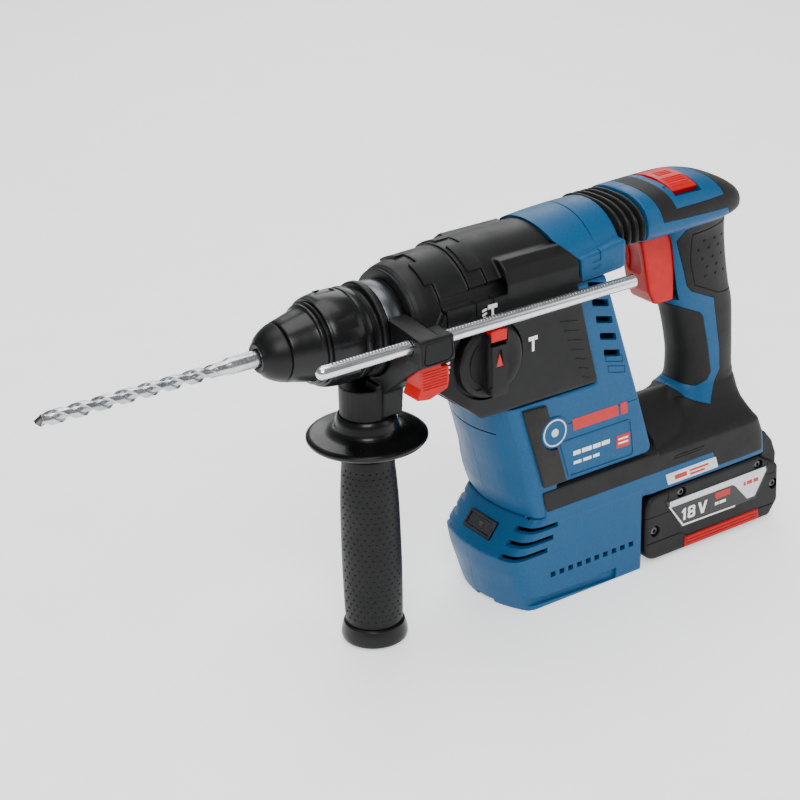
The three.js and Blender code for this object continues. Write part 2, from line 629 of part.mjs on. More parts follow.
// Five air slots behind the gear housing on each side follow the lean.
function louvres() {
  const slots = [];
  for (const side of [-1, 1]) {
    for (let i = 0; i < 5; i += 1) {
      const z = SPINDLE_Z + 1 - i * 11.5;
      const x = 3.5 + (SPINDLE_Z + 1 - z) * Math.tan(LEAN);
      slots.push(plate(outline([[x, z], [x + 12, z + 1.5], [x + 11, z + 6], [x - 1, z + 4.5]]),
        side < 0 ? -MOTOR_HALF - 1 : MOTOR_HALF - 6, side < 0 ? 6 - MOTOR_HALF : MOTOR_HALF + 1));
    }
  }
  return slots;
}

// Soft strip on each flank, in front of the label panel.
const sideStrip = (side) => plate(outline([
  [-46.4, FLOOR_Z - 3], [-28.8, FLOOR_Z - 4], [-13.5, SILL_Z + 3.5], [-30.6, SILL_Z + 3.5],
]), side < 0 ? -MOTOR_HALF - FIT - 1.6 : MOTOR_HALF + FIT, side < 0 ? -MOTOR_HALF - FIT
  : MOTOR_HALF + FIT + 1.6);

function rearCover() {
  const rings = (inset) => loft([
    uprightRing(-24, BARREL_R - inset, SPINDLE_Z + BARREL_R - inset,
      COVER_BOTTOM - 6, SPINDLE_Z, 2),
    uprightRing(8, BARREL_R - 1 - inset, SPINDLE_Z + 42 - inset, COVER_BOTTOM - 6,
      SPINDLE_Z + 8, 2.3),
    uprightRing(30 - inset, 35 - inset, HEAD_TOP - 0.8 - inset, COVER_BOTTOM - 6,
      SPINDLE_Z + 14, 2.5),
  ]);
  const opening = uprightRing(20, 22, HEAD_TOP - 10, COVER_BOTTOM + 4, SPINDLE_Z + 20, 2.3);
  const exit = loft([opening, opening.map((point) => point.clone().setX(40))]);
  const floorDoor = box(-30, 26, -29, 29, COVER_BOTTOM - 12, COVER_BOTTOM + 4);
  return cut(rings(0).intersect(coverZone(FIT)), rings(WALL), exit, floorDoor);
}

// A pleated rubber boot joins the rear cover to the handle head.
const BOOT_FRONT = 30 + FIT;
const BOOT_REAR = HEAD_FRONT - FIT;
function bellows() {
  const pleats = 4;
  const pitch = (BOOT_REAR - BOOT_FRONT) / pleats;
  const outerRings = [];
  const innerRings = [];
  const stations = [];
  for (let i = 0; i < pleats; i += 1) {
    stations.push([BOOT_FRONT + i * pitch, 0], [BOOT_FRONT + (i + 0.5) * pitch, 1]);
  }
  stations.push([BOOT_REAR, 0]);
  stations.forEach(([x, bulge]) => {
    const half = 27.5 + 3 * bulge;
    const top = HEAD_TOP - 5 + 3 * bulge;
    const bottom = HEAD_BOTTOM + 3 - 2 * bulge;
    outerRings.push(uprightRing(x, half, top, bottom, HEAD_MIDDLE, 2.4, 16));
    innerRings.push(uprightRing(x, half - 2, top - 2, bottom + 2, HEAD_MIDDLE, 2.4, 16));
  });
  innerRings[0].forEach((point) => point.setX(BOOT_FRONT - 1));
  innerRings[innerRings.length - 1].forEach((point) => point.setX(BOOT_REAR + 1));
  return cut(loft(outerRings), loft(innerRings));
}

// ---- Motor -------------------------------------------------------------------------------
const stator = () => cut(leaningRing(ROTOR_R + 0.8, STATOR_R, -12, 36),
  ...turns(6).map((angle) => {
    const geometry = new THREE.BoxGeometry(4, 6, 60);
    geometry.translate(ROTOR_R + 5, 0, 12);
    geometry.rotateZ(angle);
    geometry.rotateY(-LEAN);
    geometry.translate(...axisPoint(0));
    return toSolid(geometry);
  }));
const rotorCore = () => leaningRing(4 + FIT, ROTOR_R, -10, 34);
const rotorShaft = () => join(
  leaning([[0, -42.5], [4, -42.5], [4, 62], [0, 62]], 16),
  leaning([[0, 61.5], [4.8, 61.5], [4.8, 75.5], [0, 75.5]], BEVEL_PINION_SIDES));

function motorFan() {
  const plateDisc = leaningRing(4 + FIT, 25, -24, -22);
  const hub = leaningRing(4 + FIT, 9, -29, -22);
  const blades = turns(9).map((angle) => {
    const geometry = new THREE.BoxGeometry(17, 1.6, 6);
    geometry.translate(16, 0, -26.5);
    geometry.rotateZ(angle);
    geometry.rotateY(-LEAN);
    geometry.translate(...axisPoint(0));
    return toSolid(geometry);
  });
  return join(plateDisc, hub, ...blades);
}

const upperBearing = () => leaningRing(4 + FIT, 11, 48, 55);
const lowerBearing = () => leaningRing(4 + FIT, 11, -42, -36);

// ---- Gear train and hammer mechanism -------------------------------------------------------
const SHAFT_Z = SPINDLE_Z - SHAFT_DROP;
const SHAFT_AXIS = [0, 0, SHAFT_Z];

function toothedRing(teeth, phase, axisZ, x0, x1, bore) {
  const geometry = new THREE.ExtrudeGeometry(gearOutline(teeth, phase), {
    depth: x1 - x0, bevelEnabled: false });
  geometry.applyMatrix4(TURN_AXES.z);
  geometry.translate(x0, 0, axisZ);
  const wheel = toSolid(geometry);
  return bore > 0 ? cut(wheel, rod('x', [0, 0, axisZ], bore, x0 - 1, x1 + 1)) : wheel;
}

const hammerTube = () => turned('x', AXIS, [
  [SHANK_R + 0.15, -188], [10.5, -188], [10.5, -140], [TUBE_R, -136], [TUBE_R, -58],
  [TUBE_BORE, -58], [TUBE_BORE, -139.5], [SHANK_R + 0.15, -142], [SHANK_R + 0.15, -188]]);
const spindleGear = () => toothedRing(
  SPINDLE_TEETH, 0.75 * SPINDLE_TEETH, SPINDLE_Z, -84, -76, TUBE_R + FIT);
const intermediateShaft = () => join(
  rod('x', SHAFT_AXIS, 5, -97, 0, 16),
  toothedRing(PINION_TEETH, 0.25 * PINION_TEETH + 0.5, SHAFT_Z, -85, -75, 0));
const driveGear = () => turned('x', SHAFT_AXIS, [
  [5 + FIT, -11.6], [9, -10.6], [19.5, -7.7], [19.5, -3.5], [5 + FIT, -3.5],
  [5 + FIT, -11.6]], BEVEL_GEAR_SIDES);

// A drum with a ball-shaped rim turns with the shaft. A ring rocks on it, and the ring's
// finger drives the piston. Finger and piston stand at mid-stroke.
const WOBBLE_X = -40;
const BALL_R = 12.5;
const FINGER_R = 3.6;
function wobbleDrum() {
  const rim = [-6, -3, 0, 3, 6].map((along) => [
    Math.sqrt(BALL_R * BALL_R - along * along), WOBBLE_X + along]);
  const first = [5 + FIT, WOBBLE_X - 6];
  return turned('x', SHAFT_AXIS, [first, ...rim, [5 + FIT, WOBBLE_X + 6], first], 24);
}
const wobbleRing = () => join(
  pipe('x', SHAFT_AXIS, BALL_R + FIT, BALL_R + 3.5, WOBBLE_X - 3.5, WOBBLE_X + 3.5, 28),
  rod('z', [WOBBLE_X, 0, 0], FINGER_R, SHAFT_Z + BALL_R + 1.5, SPINDLE_Z + 4, 14));

const spindleBearing = () => pipe('x', AXIS, TUBE_R + FIT, 20.5 - FIT, -127, -117);
const impactBolt = () => turned('x', AXIS, [
  [0, -138], [4.6, -138], [4.6, -129], [TUBE_BORE - 0.4, -126], [TUBE_BORE - 0.4, -112],
  [0, -112]], 20);
const striker = () => turned('x', AXIS, [
  [0, -110], [6, -110], [TUBE_BORE - 0.4, -107], [TUBE_BORE - 0.4, -90], [0, -90]], 20);
const piston = () => cut(
  rod('x', AXIS, TUBE_BORE - 0.4, -76, WOBBLE_X + 10, 20),
  rod('x', AXIS, 9.6, -77, -58, 16),
  plate(outline([
    [WOBBLE_X - FINGER_R - 3, SPINDLE_Z - 13], [WOBBLE_X + FINGER_R + 3, SPINDLE_Z - 13],
    [WOBBLE_X + FINGER_R + 0.6, SPINDLE_Z], [WOBBLE_X + FINGER_R + 3, SPINDLE_Z + 13],
    [WOBBLE_X - FINGER_R - 3, SPINDLE_Z + 13], [WOBBLE_X - FINGER_R - 0.6, SPINDLE_Z],
  ]), -FINGER_R - 0.6, FINGER_R + 0.6));

// ---- Chuck ---------------------------------------------------------------------------------
const CAP_REAR = NOSE_X + 13.4;
const dustCap = () => turned('x', AXIS, [
  [SHANK_R + 0.3, NOSE_X + 1], [8, NOSE_X], [11, NOSE_X + 1.6], [14.4, NOSE_X + 6],
  [16.6, NOSE_X + 12], [16.2, CAP_REAR], [10.5 + FIT, CAP_REAR], [10.5 + FIT, NOSE_X + 11.5],
  [SHANK_R + 0.3, NOSE_X + 11.5], [SHANK_R + 0.3, NOSE_X + 1]], 24);

const SLEEVE_REAR = COLLAR_FRONT - SLEEVE_TRAVEL - RUN;
function chuckSleeve() {
  const outer = [
    [16.4, CAP_REAR + 0.5], [17.2, CAP_REAR + 1.4], [21, NOSE_X + 30], [22.6, NOSE_X + 31],
    [22.6, NOSE_X + 32.4], [23.8, NOSE_X + 32.8], [23.8, NOSE_X + 34.2], [25.2, NOSE_X + 34.8],
    [25.2, NOSE_X + 36.4], [26.8, NOSE_X + 43], [26.8, NOSE_X + 58], [26, SLEEVE_REAR],
  ];
  const inner = [[NECK_R - 0.2, SLEEVE_REAR], [NECK_R - 0.2, NOSE_X + 53],
    [19.5, NOSE_X + 46], [14.5, NOSE_X + 30], [14.5, CAP_REAR + 0.5], [16.4, CAP_REAR + 0.5]];
  return turned('x', AXIS, [...outer, ...inner], 24);
}

// The sleeve's return spring: a coil round the spindle.
function sleeveSpring() {
  const wire = 0.8;
  const coilRadius = 12.9;
  const coils = 5;
  class Coil extends THREE.Curve {
    getPoint(share, target = new THREE.Vector3()) {
      const angle = share * coils * 2 * Math.PI;
      return target.set(-182 + share * 24, coilRadius * Math.cos(angle),
        SPINDLE_Z + coilRadius * Math.sin(angle));
    }
  }
  const section = new THREE.Shape(turns(4).map(
    (angle) => new THREE.Vector2(wire * Math.cos(angle), wire * Math.sin(angle))));
  return toSolid(new THREE.ExtrudeGeometry(section, {
    extrudePath: new Coil(), steps: coils * 9, bevelEnabled: false }));
}

// ---- Drill bit -------------------------------------------------------------------------------
const BIT_TIP = -331.4;
const FLUTE_REAR = -225;
function drillBit() {
  const rings = [];
  const steps = 26;
  for (let i = 0; i <= steps; i += 1) {
    const x = BIT_TIP + 4 + ((FLUTE_REAR - BIT_TIP - 4) * i) / steps;
    const twist = (x / 40) * 2 * Math.PI;
    rings.push(turns(8).map((angle) => {
      const radius = 2.5 + 1.5 * Math.abs(Math.cos(angle)) ** 1.5;
      return new THREE.Vector3(x, radius * Math.cos(angle + twist),
        SPINDLE_Z + radius * Math.sin(angle + twist));
    }));
  }
  const shank = turned('x', AXIS, [
    [0, FLUTE_REAR - 0.5], [3.9, FLUTE_REAR - 0.5], [3.9, -220], [SHANK_R - 0.1, -217],
    [SHANK_R - 0.1, -142.6], [0, -142.6]], 16);
  return join(loft(rings), shank);
}
const carbideTip = () => plate(outline([
  [BIT_TIP, SPINDLE_Z], [BIT_TIP + 3.6, SPINDLE_Z + 4.1], [BIT_TIP + 3.6, SPINDLE_Z - 4.1],
]), -1, 1);

// ---- Side handle --------------------------------------------------------------------------------
const STRAP_THICK = 1;
const STRAP_FRONT = NECK_FRONT + 0.6;
const STRAP_REAR = LIP_X - 0.8;
const clampStrap = () => pipe(
  'x', AXIS, NECK_R + FIT, NECK_R + FIT + STRAP_THICK, STRAP_FRONT, STRAP_REAR, 36);

const LOCK_FRONT = HANDLE_X;
const LOCK_REAR = LOCK_FRONT + 22;
function clampHead() {
  const saddle = NECK_R + 2 * FIT + STRAP_THICK;
  const wing = frontal(outline([
    [-24, SPINDLE_Z + 13], [-57, SPINDLE_Z + 9.5, 2], [-58, SPINDLE_Z - 5.5, 2],
    [-50, SPINDLE_Z - 10], [-19, SPINDLE_Z - 34], [-17, SPINDLE_Z - 50], [17, SPINDLE_Z - 50],
    [18, SPINDLE_Z - 33], [28, SPINDLE_Z - 18, 4], [30, SPINDLE_Z, 2], [20, SPINDLE_Z],
  ]), STRAP_FRONT - 1.5, STRAP_REAR, 0);
  const lock = frontal(outline([
    [-42, SPINDLE_Z + 10], [-57, SPINDLE_Z + 9.5, 2], [-58, SPINDLE_Z - 5.5, 2], [-42, SPINDLE_Z - 6],
  ]), LOCK_FRONT, LOCK_REAR);
  const neck = join(
    rod('z', [HANDLE_X, 0, 0], 15.5, GUARD_Z + 10.5, SPINDLE_Z - 33, 28),
    box(HANDLE_X - 2, STRAP_REAR, -15, 15, SPINDLE_Z - 50, SPINDLE_Z - 30));
  const sleeveRoom = rod('x', AXIS, COLLAR_R + 1, NECK_FRONT - 30, NECK_FRONT + FIT, 32);
  return cut(join(wing, lock, neck),
    rod('x', AXIS, saddle, NECK_FRONT - 5, LIP_X, 36), sleeveRoom,
    rod('x', [0, ROD_Y, ROD_Z], ROD_R + 0.3, -140, -100, 16),
    rod('z', [HANDLE_X, 0, 0], 4.4, GUARD_Z, SPINDLE_Z - 20, 14),
    box(-128.5, LOCK_REAR - 5, -56, -35, SPINDLE_Z - 30, SPINDLE_Z - 4.5),
    box(LOCK_REAR - 6, LOCK_REAR + 1, -56, -35, SPINDLE_Z - 30, SPINDLE_Z - 10));
}
const clampBolt = () => join(
  rod('z', [HANDLE_X, 0, 0], 3.9, 60, SPINDLE_Z - 34, 12),
  rod('z', [HANDLE_X, 0, 0], 4.2, SPINDLE_Z - 42, SPINDLE_Z - 34.5, 6));
const depthButton = () => plate(outline([
  [-128, SPINDLE_Z - 5], [-128, SPINDLE_Z - 20], [-131, SPINDLE_Z - 26.5, 1],
  [-122, SPINDLE_Z - 28, 2], [-110, SPINDLE_Z - 24, 2], [-108.9, SPINDLE_Z - 20],
  [-108.9, SPINDLE_Z - 10.5], [-114, SPINDLE_Z - 10.5], [-114, SPINDLE_Z - 5]]), -52.4, -38.6);
const depthRod = () => rod('x', [0, ROD_Y, ROD_Z], ROD_R, ROD_FRONT, ROD_FRONT + ROD_LENGTH, 14);

const GRIP_AXIS = [HANDLE_X, 0, 0];
const gripGuard = () => turned('z', GRIP_AXIS, [
  [4.6, 118], [15.4, 118], [15.4, GUARD_Z - 7], [18, GUARD_Z - 5], [GUARD_R - 1, GUARD_Z - 4],
  [GUARD_R, GUARD_Z - 2.5], [GUARD_R - 0.5, GUARD_Z], [24, GUARD_Z + 1.6], [19, GUARD_Z + 4],
  [18.4, GUARD_Z + 9], [16.4, GUARD_Z + 12.6], [16.1, GUARD_Z + 12.6], [16.1, GUARD_Z + 6.5],
  [4.6, GUARD_Z + 6.5], [4.6, 118]], 24);
const gripSleeve = () => turned('z', GRIP_AXIS, [
  [4.6, 13], [SIDE_GRIP_R - 0.4, 13], [SIDE_GRIP_R + 0.4, 45], [SIDE_GRIP_R, 90],
  [SIDE_GRIP_R - 1.7, 116], [SIDE_GRIP_R - 1.5, GUARD_Z - 7.5], [15.8, GUARD_Z - 7.5],
  [15.8, 117.6], [4.6, 117.6], [4.6, 13]], 24);
const gripEndCap = () => turned('z', GRIP_AXIS, [
  [0, 1], [15, 0.6], [19.4, 1.6], [20, 4], [18.4, 12.6], [0, 12.6]], 24);

// ---- Mode knob ------------------------------------------------------------------------------------
const KNOB_AT = [KNOB_X, 0, KNOB_Z];
const KNOB_FACE = -UNIT_HALF - 7;
const buttonRoom = (gap, travel) => box(
  KNOB_X - 5 - gap, KNOB_X + 6 + gap, KNOB_FACE - 3, KNOB_FACE + 4 + gap,
  KNOB_Z + 12 - gap - travel, KNOB_Z + KNOB_R + 3);
const modeKnob = () => cut(
  join(
    turned('y', KNOB_AT, [[0, KNOB_FACE + 3.2], [KNOB_R - 1, KNOB_FACE + 3.2],
      [KNOB_R, KNOB_FACE + 4], [KNOB_R, 3.6 - UNIT_HALF], [6, 3.6 - UNIT_HALF],
      [6, 13.4 - UNIT_HALF], [0, 13.4 - UNIT_HALF]], 24),
    plate(outline([
      [KNOB_X - 6, KNOB_Z - KNOB_R + 2.5, 3], [KNOB_X + 7, KNOB_Z - KNOB_R + 2.5, 3],
      [KNOB_X + 7, KNOB_Z + KNOB_R - 2, 2], [KNOB_X - 6, KNOB_Z + KNOB_R - 2, 2],
    ]), KNOB_FACE - 3, KNOB_FACE + 4)),
  buttonRoom(FIT, 2));
const modeButton = () => buttonRoom(0, 0).intersect(
  rod('y', KNOB_AT, KNOB_R - 0.5, KNOB_FACE - 2.6, KNOB_FACE + 4, 28));

// ---- Battery ----------------------------------------------------------------------------------------
const BAY_FRONT = BASE_REAR + 0.5;
const BAY_HALF = 37;
const PART_Z = 34.5;
const packForm = (inset) => plate(outline([
  [BAY_FRONT + inset, BAY_TOP - 1.5 - inset, 8], [BAY_FRONT + inset, 3 + inset, 9],
  [158, 3 + inset], [BAY_REAR - inset, 13], [BAY_REAR - 1 - inset, 39],
  [146, BAY_TOP - inset], [78, BAY_TOP - inset],
]), inset - BAY_HALF, BAY_HALF - inset, inset > 0 ? 0 : 2.5);
const rails = (inset) => box(
  58 + inset, 146 - inset, inset - RAIL_HALF, RAIL_HALF - inset, BAY_TOP - 6, RAIL_TOP - inset);
const SCREWS = [[80, 44.6], [146, 43.8], [58.5, 23.6], [160.3, 26]];
const screwWell = ([x, z]) => rod('y', [x, 0, z], 3.4, -BAY_HALF - 1, -33, 12);
const screwHole = ([x, z]) => rod('y', [x, 0, z], 1.6, -36, -26, 8);
const buttonSlot = (gap) => box(
  146 - 4 - gap, 158 + gap, -13 - gap, 13 + gap, 42, RAIL_TOP - 1.5 + gap);

function packBody() {
  const outer = join(packForm(0), rails(0));
  const room = join(packForm(2.4), rails(2.4));
  return cut(outer, room, box(57, 66, -18, 18, 50, RAIL_TOP + 1),
    ...SCREWS.map(screwWell), ...SCREWS.map(screwHole));
}
const batteryCase = () => packBody().intersect(box(40, 180, -50, 50, 0, PART_Z - FIT));
const batteryCover = () => cut(packBody().intersect(box(40, 180, -50, 50, PART_Z, 70)),
  buttonSlot(RUN), box(150, 158, -13.5, 13.5, 44, 60));
const batteryButton = () => plate(outline([
  [142.5, 48], [157, 46.5, 1], [157, 50, 2], [142.5, RAIL_TOP - 1.5, 1]]), -12.5, 12.5);

const cellX = (i) => 67.2 + 19 * i;
function cellPack() {
  const cells = [];
  for (let i = 0; i < 5; i += 1) {
    cells.push(rod('y', [cellX(i), 0, 14.9], 9.2, -32.5, 32.5, 10));
    cells.push(rod('y', [cellX(i), 0, 33.1], 9.2, -32.5, 32.5, 10));
  }
  return join(...cells, box(cellX(0), cellX(4), -3, 3, 8, 41));
}
const batteryContacts = () => cut(box(67, 78, -17, 17, 42.8, RAIL_TOP - 3),
  ...[-14.4, -4.4, 4.4, 14.4].map((y) => box(66, 76, y - 1, y + 1, 50, RAIL_TOP)));
const batteryScrew = ([x, z]) => join(
  rod('y', [x, 0, z], 2.9, -35.8, -33.4, 12),
  rod('y', [x, 0, z], 1.25, -34, -27, 8));

// ---- Assembly ---------------------------------------------------------------------------
const tool = new THREE.Group();
const place = (name, solid, look) => tool.add(mesh(name, solid, look));

const shells = frameShells();
place('frame_shell_left', shells.left, BLUE);
place('frame_shell_right', shells.right, BLUE);
place('foot_overmould', footOvermould(), CHARCOAL);
place('rear_grip_pad', rearOvermould(), CHARCOAL);
place('front_grip_pad', frontOvermould(), CHARCOAL);
place('head_pad', headOvermould(), CHARCOAL);
place('switch_unit', switchUnit(), CHARCOAL);
place('terminal_block', terminalBlock(), CHARCOAL);
place('motor_controller', motorController(), BOARD);
place('light_bezel', lightBezel(), BLACK);
place('light_lens', lightLens(), LENS);
place('trigger', trigger(), RED);
place('reversing_slide', reversingSlide(), RED);

place('gear_housing', gearHousing(), CHARCOAL);
place('motor_housing_left', motorHousing(-1), BLUE);
place('motor_housing_right', motorHousing(1), BLUE);
place('side_strip_left', sideStrip(-1), CHARCOAL);
place('side_strip_right', sideStrip(1), CHARCOAL);
place('rear_cover', rearCover(), BLUE);
place('bellows', bellows(), RUBBER);
place('stator', stator(), COPPER);
place('upper_bearing', upperBearing(), STEEL);
place('lower_bearing', lowerBearing(), STEEL);
place('rotor_shaft', rotorShaft(), STEEL);
place('rotor_core', rotorCore(), DARK_STEEL);
place('motor_fan', motorFan(), CHARCOAL);

place('intermediate_shaft', intermediateShaft(), DARK_STEEL);
place('drive_gear', driveGear(), DARK_STEEL);
place('wobble_drum', wobbleDrum(), STEEL);
place('wobble_ring', wobbleRing(), DARK_STEEL);
place('spindle_bearing', spindleBearing(), STEEL);
place('hammer_tube', hammerTube(), DARK_STEEL);
place('spindle_gear', spindleGear(), DARK_STEEL);
place('impact_bolt', impactBolt(), STEEL);
place('striker', striker(), STEEL);
place('piston', piston(), STEEL);
place('dust_cap', dustCap(), BLACK);
place('chuck_sleeve', chuckSleeve(), BLACK);
place('sleeve_spring', sleeveSpring(), STEEL);
place('drill_bit', drillBit(), STEEL);
place('carbide_tip', carbideTip(), DARK_STEEL);

place('clamp_strap', clampStrap(), STEEL);
place('clamp_head', clampHead(), CHARCOAL);
place('clamp_bolt', clampBolt(), STEEL);
place('depth_button', depthButton(), RED);
place('depth_rod', depthRod(), STEEL);
place('grip_guard', gripGuard(), BLACK);
place('grip_sleeve', gripSleeve(), RUBBER);
place('grip_end_cap', gripEndCap(), BLACK);

place('mode_knob', modeKnob(), CHARCOAL);
place('mode_button', modeButton(), RED);

place('battery_case', batteryCase(), CHARCOAL);
place('battery_cover', batteryCover(), CHARCOAL);
place('battery_button', batteryButton(), RED);
place('cell_pack', cellPack(), finish(0x3d6b58, 0.5));
place('battery_contacts', batteryContacts(), CHARCOAL);
SCREWS.forEach((at, i) => place(`battery_screw_${i + 1}`, batteryScrew(at), DARK_STEEL));

export default tool;
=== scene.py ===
"""Looks of a cordless rotary hammer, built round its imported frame.

Run by Blender 4.5. Sizes are in millimetres and become metres when a mesh is made.
"""

import logging
import math
from collections.abc import Iterable, Sequence
from dataclasses import dataclass
from enum import Enum

import bmesh
import bpy
import numpy as np
from mathutils import Matrix, Vector
from mathutils.bvhtree import BVHTree


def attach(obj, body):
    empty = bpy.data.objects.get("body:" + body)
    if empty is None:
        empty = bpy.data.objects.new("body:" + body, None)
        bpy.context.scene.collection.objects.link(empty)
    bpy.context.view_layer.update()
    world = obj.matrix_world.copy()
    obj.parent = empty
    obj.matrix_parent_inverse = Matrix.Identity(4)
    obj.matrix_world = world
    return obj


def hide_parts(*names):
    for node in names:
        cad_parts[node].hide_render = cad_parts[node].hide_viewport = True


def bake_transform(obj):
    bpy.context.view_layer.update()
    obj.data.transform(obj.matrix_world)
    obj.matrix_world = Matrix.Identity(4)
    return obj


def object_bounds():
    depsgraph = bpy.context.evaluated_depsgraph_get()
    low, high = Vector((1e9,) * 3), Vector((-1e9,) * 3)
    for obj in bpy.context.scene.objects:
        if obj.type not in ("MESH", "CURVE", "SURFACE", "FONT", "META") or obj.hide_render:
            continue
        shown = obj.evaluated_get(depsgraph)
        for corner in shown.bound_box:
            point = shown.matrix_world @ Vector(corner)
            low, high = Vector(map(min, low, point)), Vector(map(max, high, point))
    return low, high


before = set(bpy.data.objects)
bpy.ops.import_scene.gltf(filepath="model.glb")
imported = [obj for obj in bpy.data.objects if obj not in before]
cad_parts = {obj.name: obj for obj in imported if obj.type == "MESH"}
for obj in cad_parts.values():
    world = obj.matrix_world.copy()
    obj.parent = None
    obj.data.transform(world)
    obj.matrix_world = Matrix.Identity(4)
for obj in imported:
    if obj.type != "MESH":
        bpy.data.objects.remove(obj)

log = logging.getLogger("rotary_hammer")

MM = 0.001
ROUND_STEPS = 128  # facets round a large turned piece
CAD_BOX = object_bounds()
Piece = bpy.types.Object
Pair = tuple[float, float]


# ---- Colour and nodes ------------------------------------------------------------------------


def linear(code: str) -> tuple[float, float, float, float]:
    """Turns an sRGB hex colour into linear light.

    Args:
        code: six hex digits.

    Returns:
        Red, green, blue and an alpha of one.
    """
    parts = [int(code[i : i + 2], 16) / 255 for i in (0, 2, 4)]
    return (*(v / 12.92 if v <= 0.04045 else ((v + 0.055) / 1.055) ** 2.4 for v in parts), 1.0)


def per_mm(size: float) -> float:
    """The texture scale, per metre of object, at which a feature is size millimetres wide."""
    return 1.0 / (size * MM)


def add(
    tree: bpy.types.NodeTree,
    kind: str,
    values: dict | None = None,
    links: dict | None = None,
    **settings: object,
) -> bpy.types.Node:
    """Adds one node.

    Args:
        tree: the material's node tree.
        kind: the node's type.
        values: numbers or colours for its inputs, by name or index.
        links: output sockets to join to its inputs, by name or index.
        **settings: properties of the node itself.

    Returns:
        The node.
    """
    made = tree.nodes.new(kind)
    for key, value in settings.items():
        setattr(made, key, value)
    for key, value in (values or {}).items():
        made.inputs[key].default_value = value
    for key, socket in (links or {}).items():
        tree.links.new(socket, made.inputs[key])
    return made


def new_material(name: str) -> tuple[bpy.types.Material, bpy.types.NodeTree, bpy.types.Node]:
    """Starts a material.

    Args:
        name: the finish's own name.

    Returns:
        The material, its empty node tree with an output, and that output.
    """
    material = bpy.data.materials.new(name)
    material.use_nodes = True
    material.node_tree.nodes.clear()
    return material, material.node_tree, add(material.node_tree, "ShaderNodeOutputMaterial")


def ramp(tree: bpy.types.NodeTree, source: object, stops: Sequence[tuple[float, tuple]]) -> object:
    """A colour ramp.

    Args:
        tree: the material's node tree.
        source: the socket that drives it.
        stops: places from 0 to 1, each with its colour.

    Returns:
        The ramp's colour socket.
    """
    made = add(tree, "ShaderNodeValToRGB", links={"Fac": source})
    elements = made.color_ramp.elements
    for place, colour in stops[2:]:
        elements.new(place).color = colour
    for element, (place, colour) in zip(elements, sorted(stops, key=lambda stop: stop[0])):
        element.position = place
        element.color = colour
    return made.outputs["Color"]


def noise(tree: bpy.types.NodeTree, size: float, detail: float = 3.0) -> object:
    """Noise in object space.

    Args:
        tree: the material's node tree.
        size: the width of a blotch in millimetres.
        detail: how many finer layers it has.

    Returns:
        The noise's value socket.
    """
    place = add(tree, "ShaderNodeTexCoord").outputs["Object"]
    made = add(
        tree,
        "ShaderNodeTexNoise",
        {"Scale": per_mm(size), "Detail": detail, "Roughness": 0.6},
        {"Vector": place},
    )
    return made.outputs[0]


def scaled_range(tree: bpy.types.NodeTree, source: object, low: float, high: float) -> object:
    """Maps the middle of a noise to the range low to high and returns the socket."""
    made = add(
        tree,
        "ShaderNodeMapRange",
        {"From Min": 0.3, "From Max": 0.7, "To Min": low, "To Max": high},
        {"Value": source},
    )
    return made.outputs["Result"]


@dataclass(frozen=True)
class Moulding:
    """Injection-moulded plastic or elastomer from a spark-eroded mould.

    The eye sees a fine even grain, a faint mottle where the filler shows, and edges that the
    mould leaves slightly round.
    """

    name: str
    colour: str
    mottle: str
    roughness: float
    grain_mm: float = 0.55  # real grain is about 0.1 mm; drawn coarser so that it shows
    grain_depth_mm: float = 0.03
    mottle_mm: float = 3.0
    edge_mm: float = 0.5
    ior: float = 1.42
    coat: float = 0.0
    sheen: float = 0.0
    specular: float = 0.34

    def build(self) -> bpy.types.Material:
        """Builds the material.

        Returns:
            The material.
        """
        material, tree, output = new_material(self.name)
        patches = noise(tree, self.mottle_mm, 5.0)
        colour = ramp(tree, patches, [(0.34, linear(self.mottle)), (0.66, linear(self.colour))])
        grain = noise(tree, self.grain_mm, 2.0)
        edge = add(tree, "ShaderNodeBevel", {"Radius": self.edge_mm * MM}, samples=4)
        bump = add(
            tree,
            "ShaderNodeBump",
            {"Strength": 0.55, "Distance": self.grain_depth_mm * MM},
            {"Height": grain, "Normal": edge.outputs["Normal"]},
        )
        gloss = scaled_range(tree, noise(tree, 14.0, 4.0), self.roughness - 0.05, self.roughness + 0.06)
        shader = add(
            tree,
            "ShaderNodeBsdfPrincipled",
            {
                "IOR": self.ior, "Specular IOR Level": self.specular, "Coat Weight": self.coat,
                "Coat Roughness": 0.12, "Sheen Weight": self.sheen,
            },
            {"Base Color": colour, "Roughness": gloss, "Normal": bump.outputs["Normal"]},
        )
        tree.links.new(shader.outputs[0], output.inputs[0])
        return material


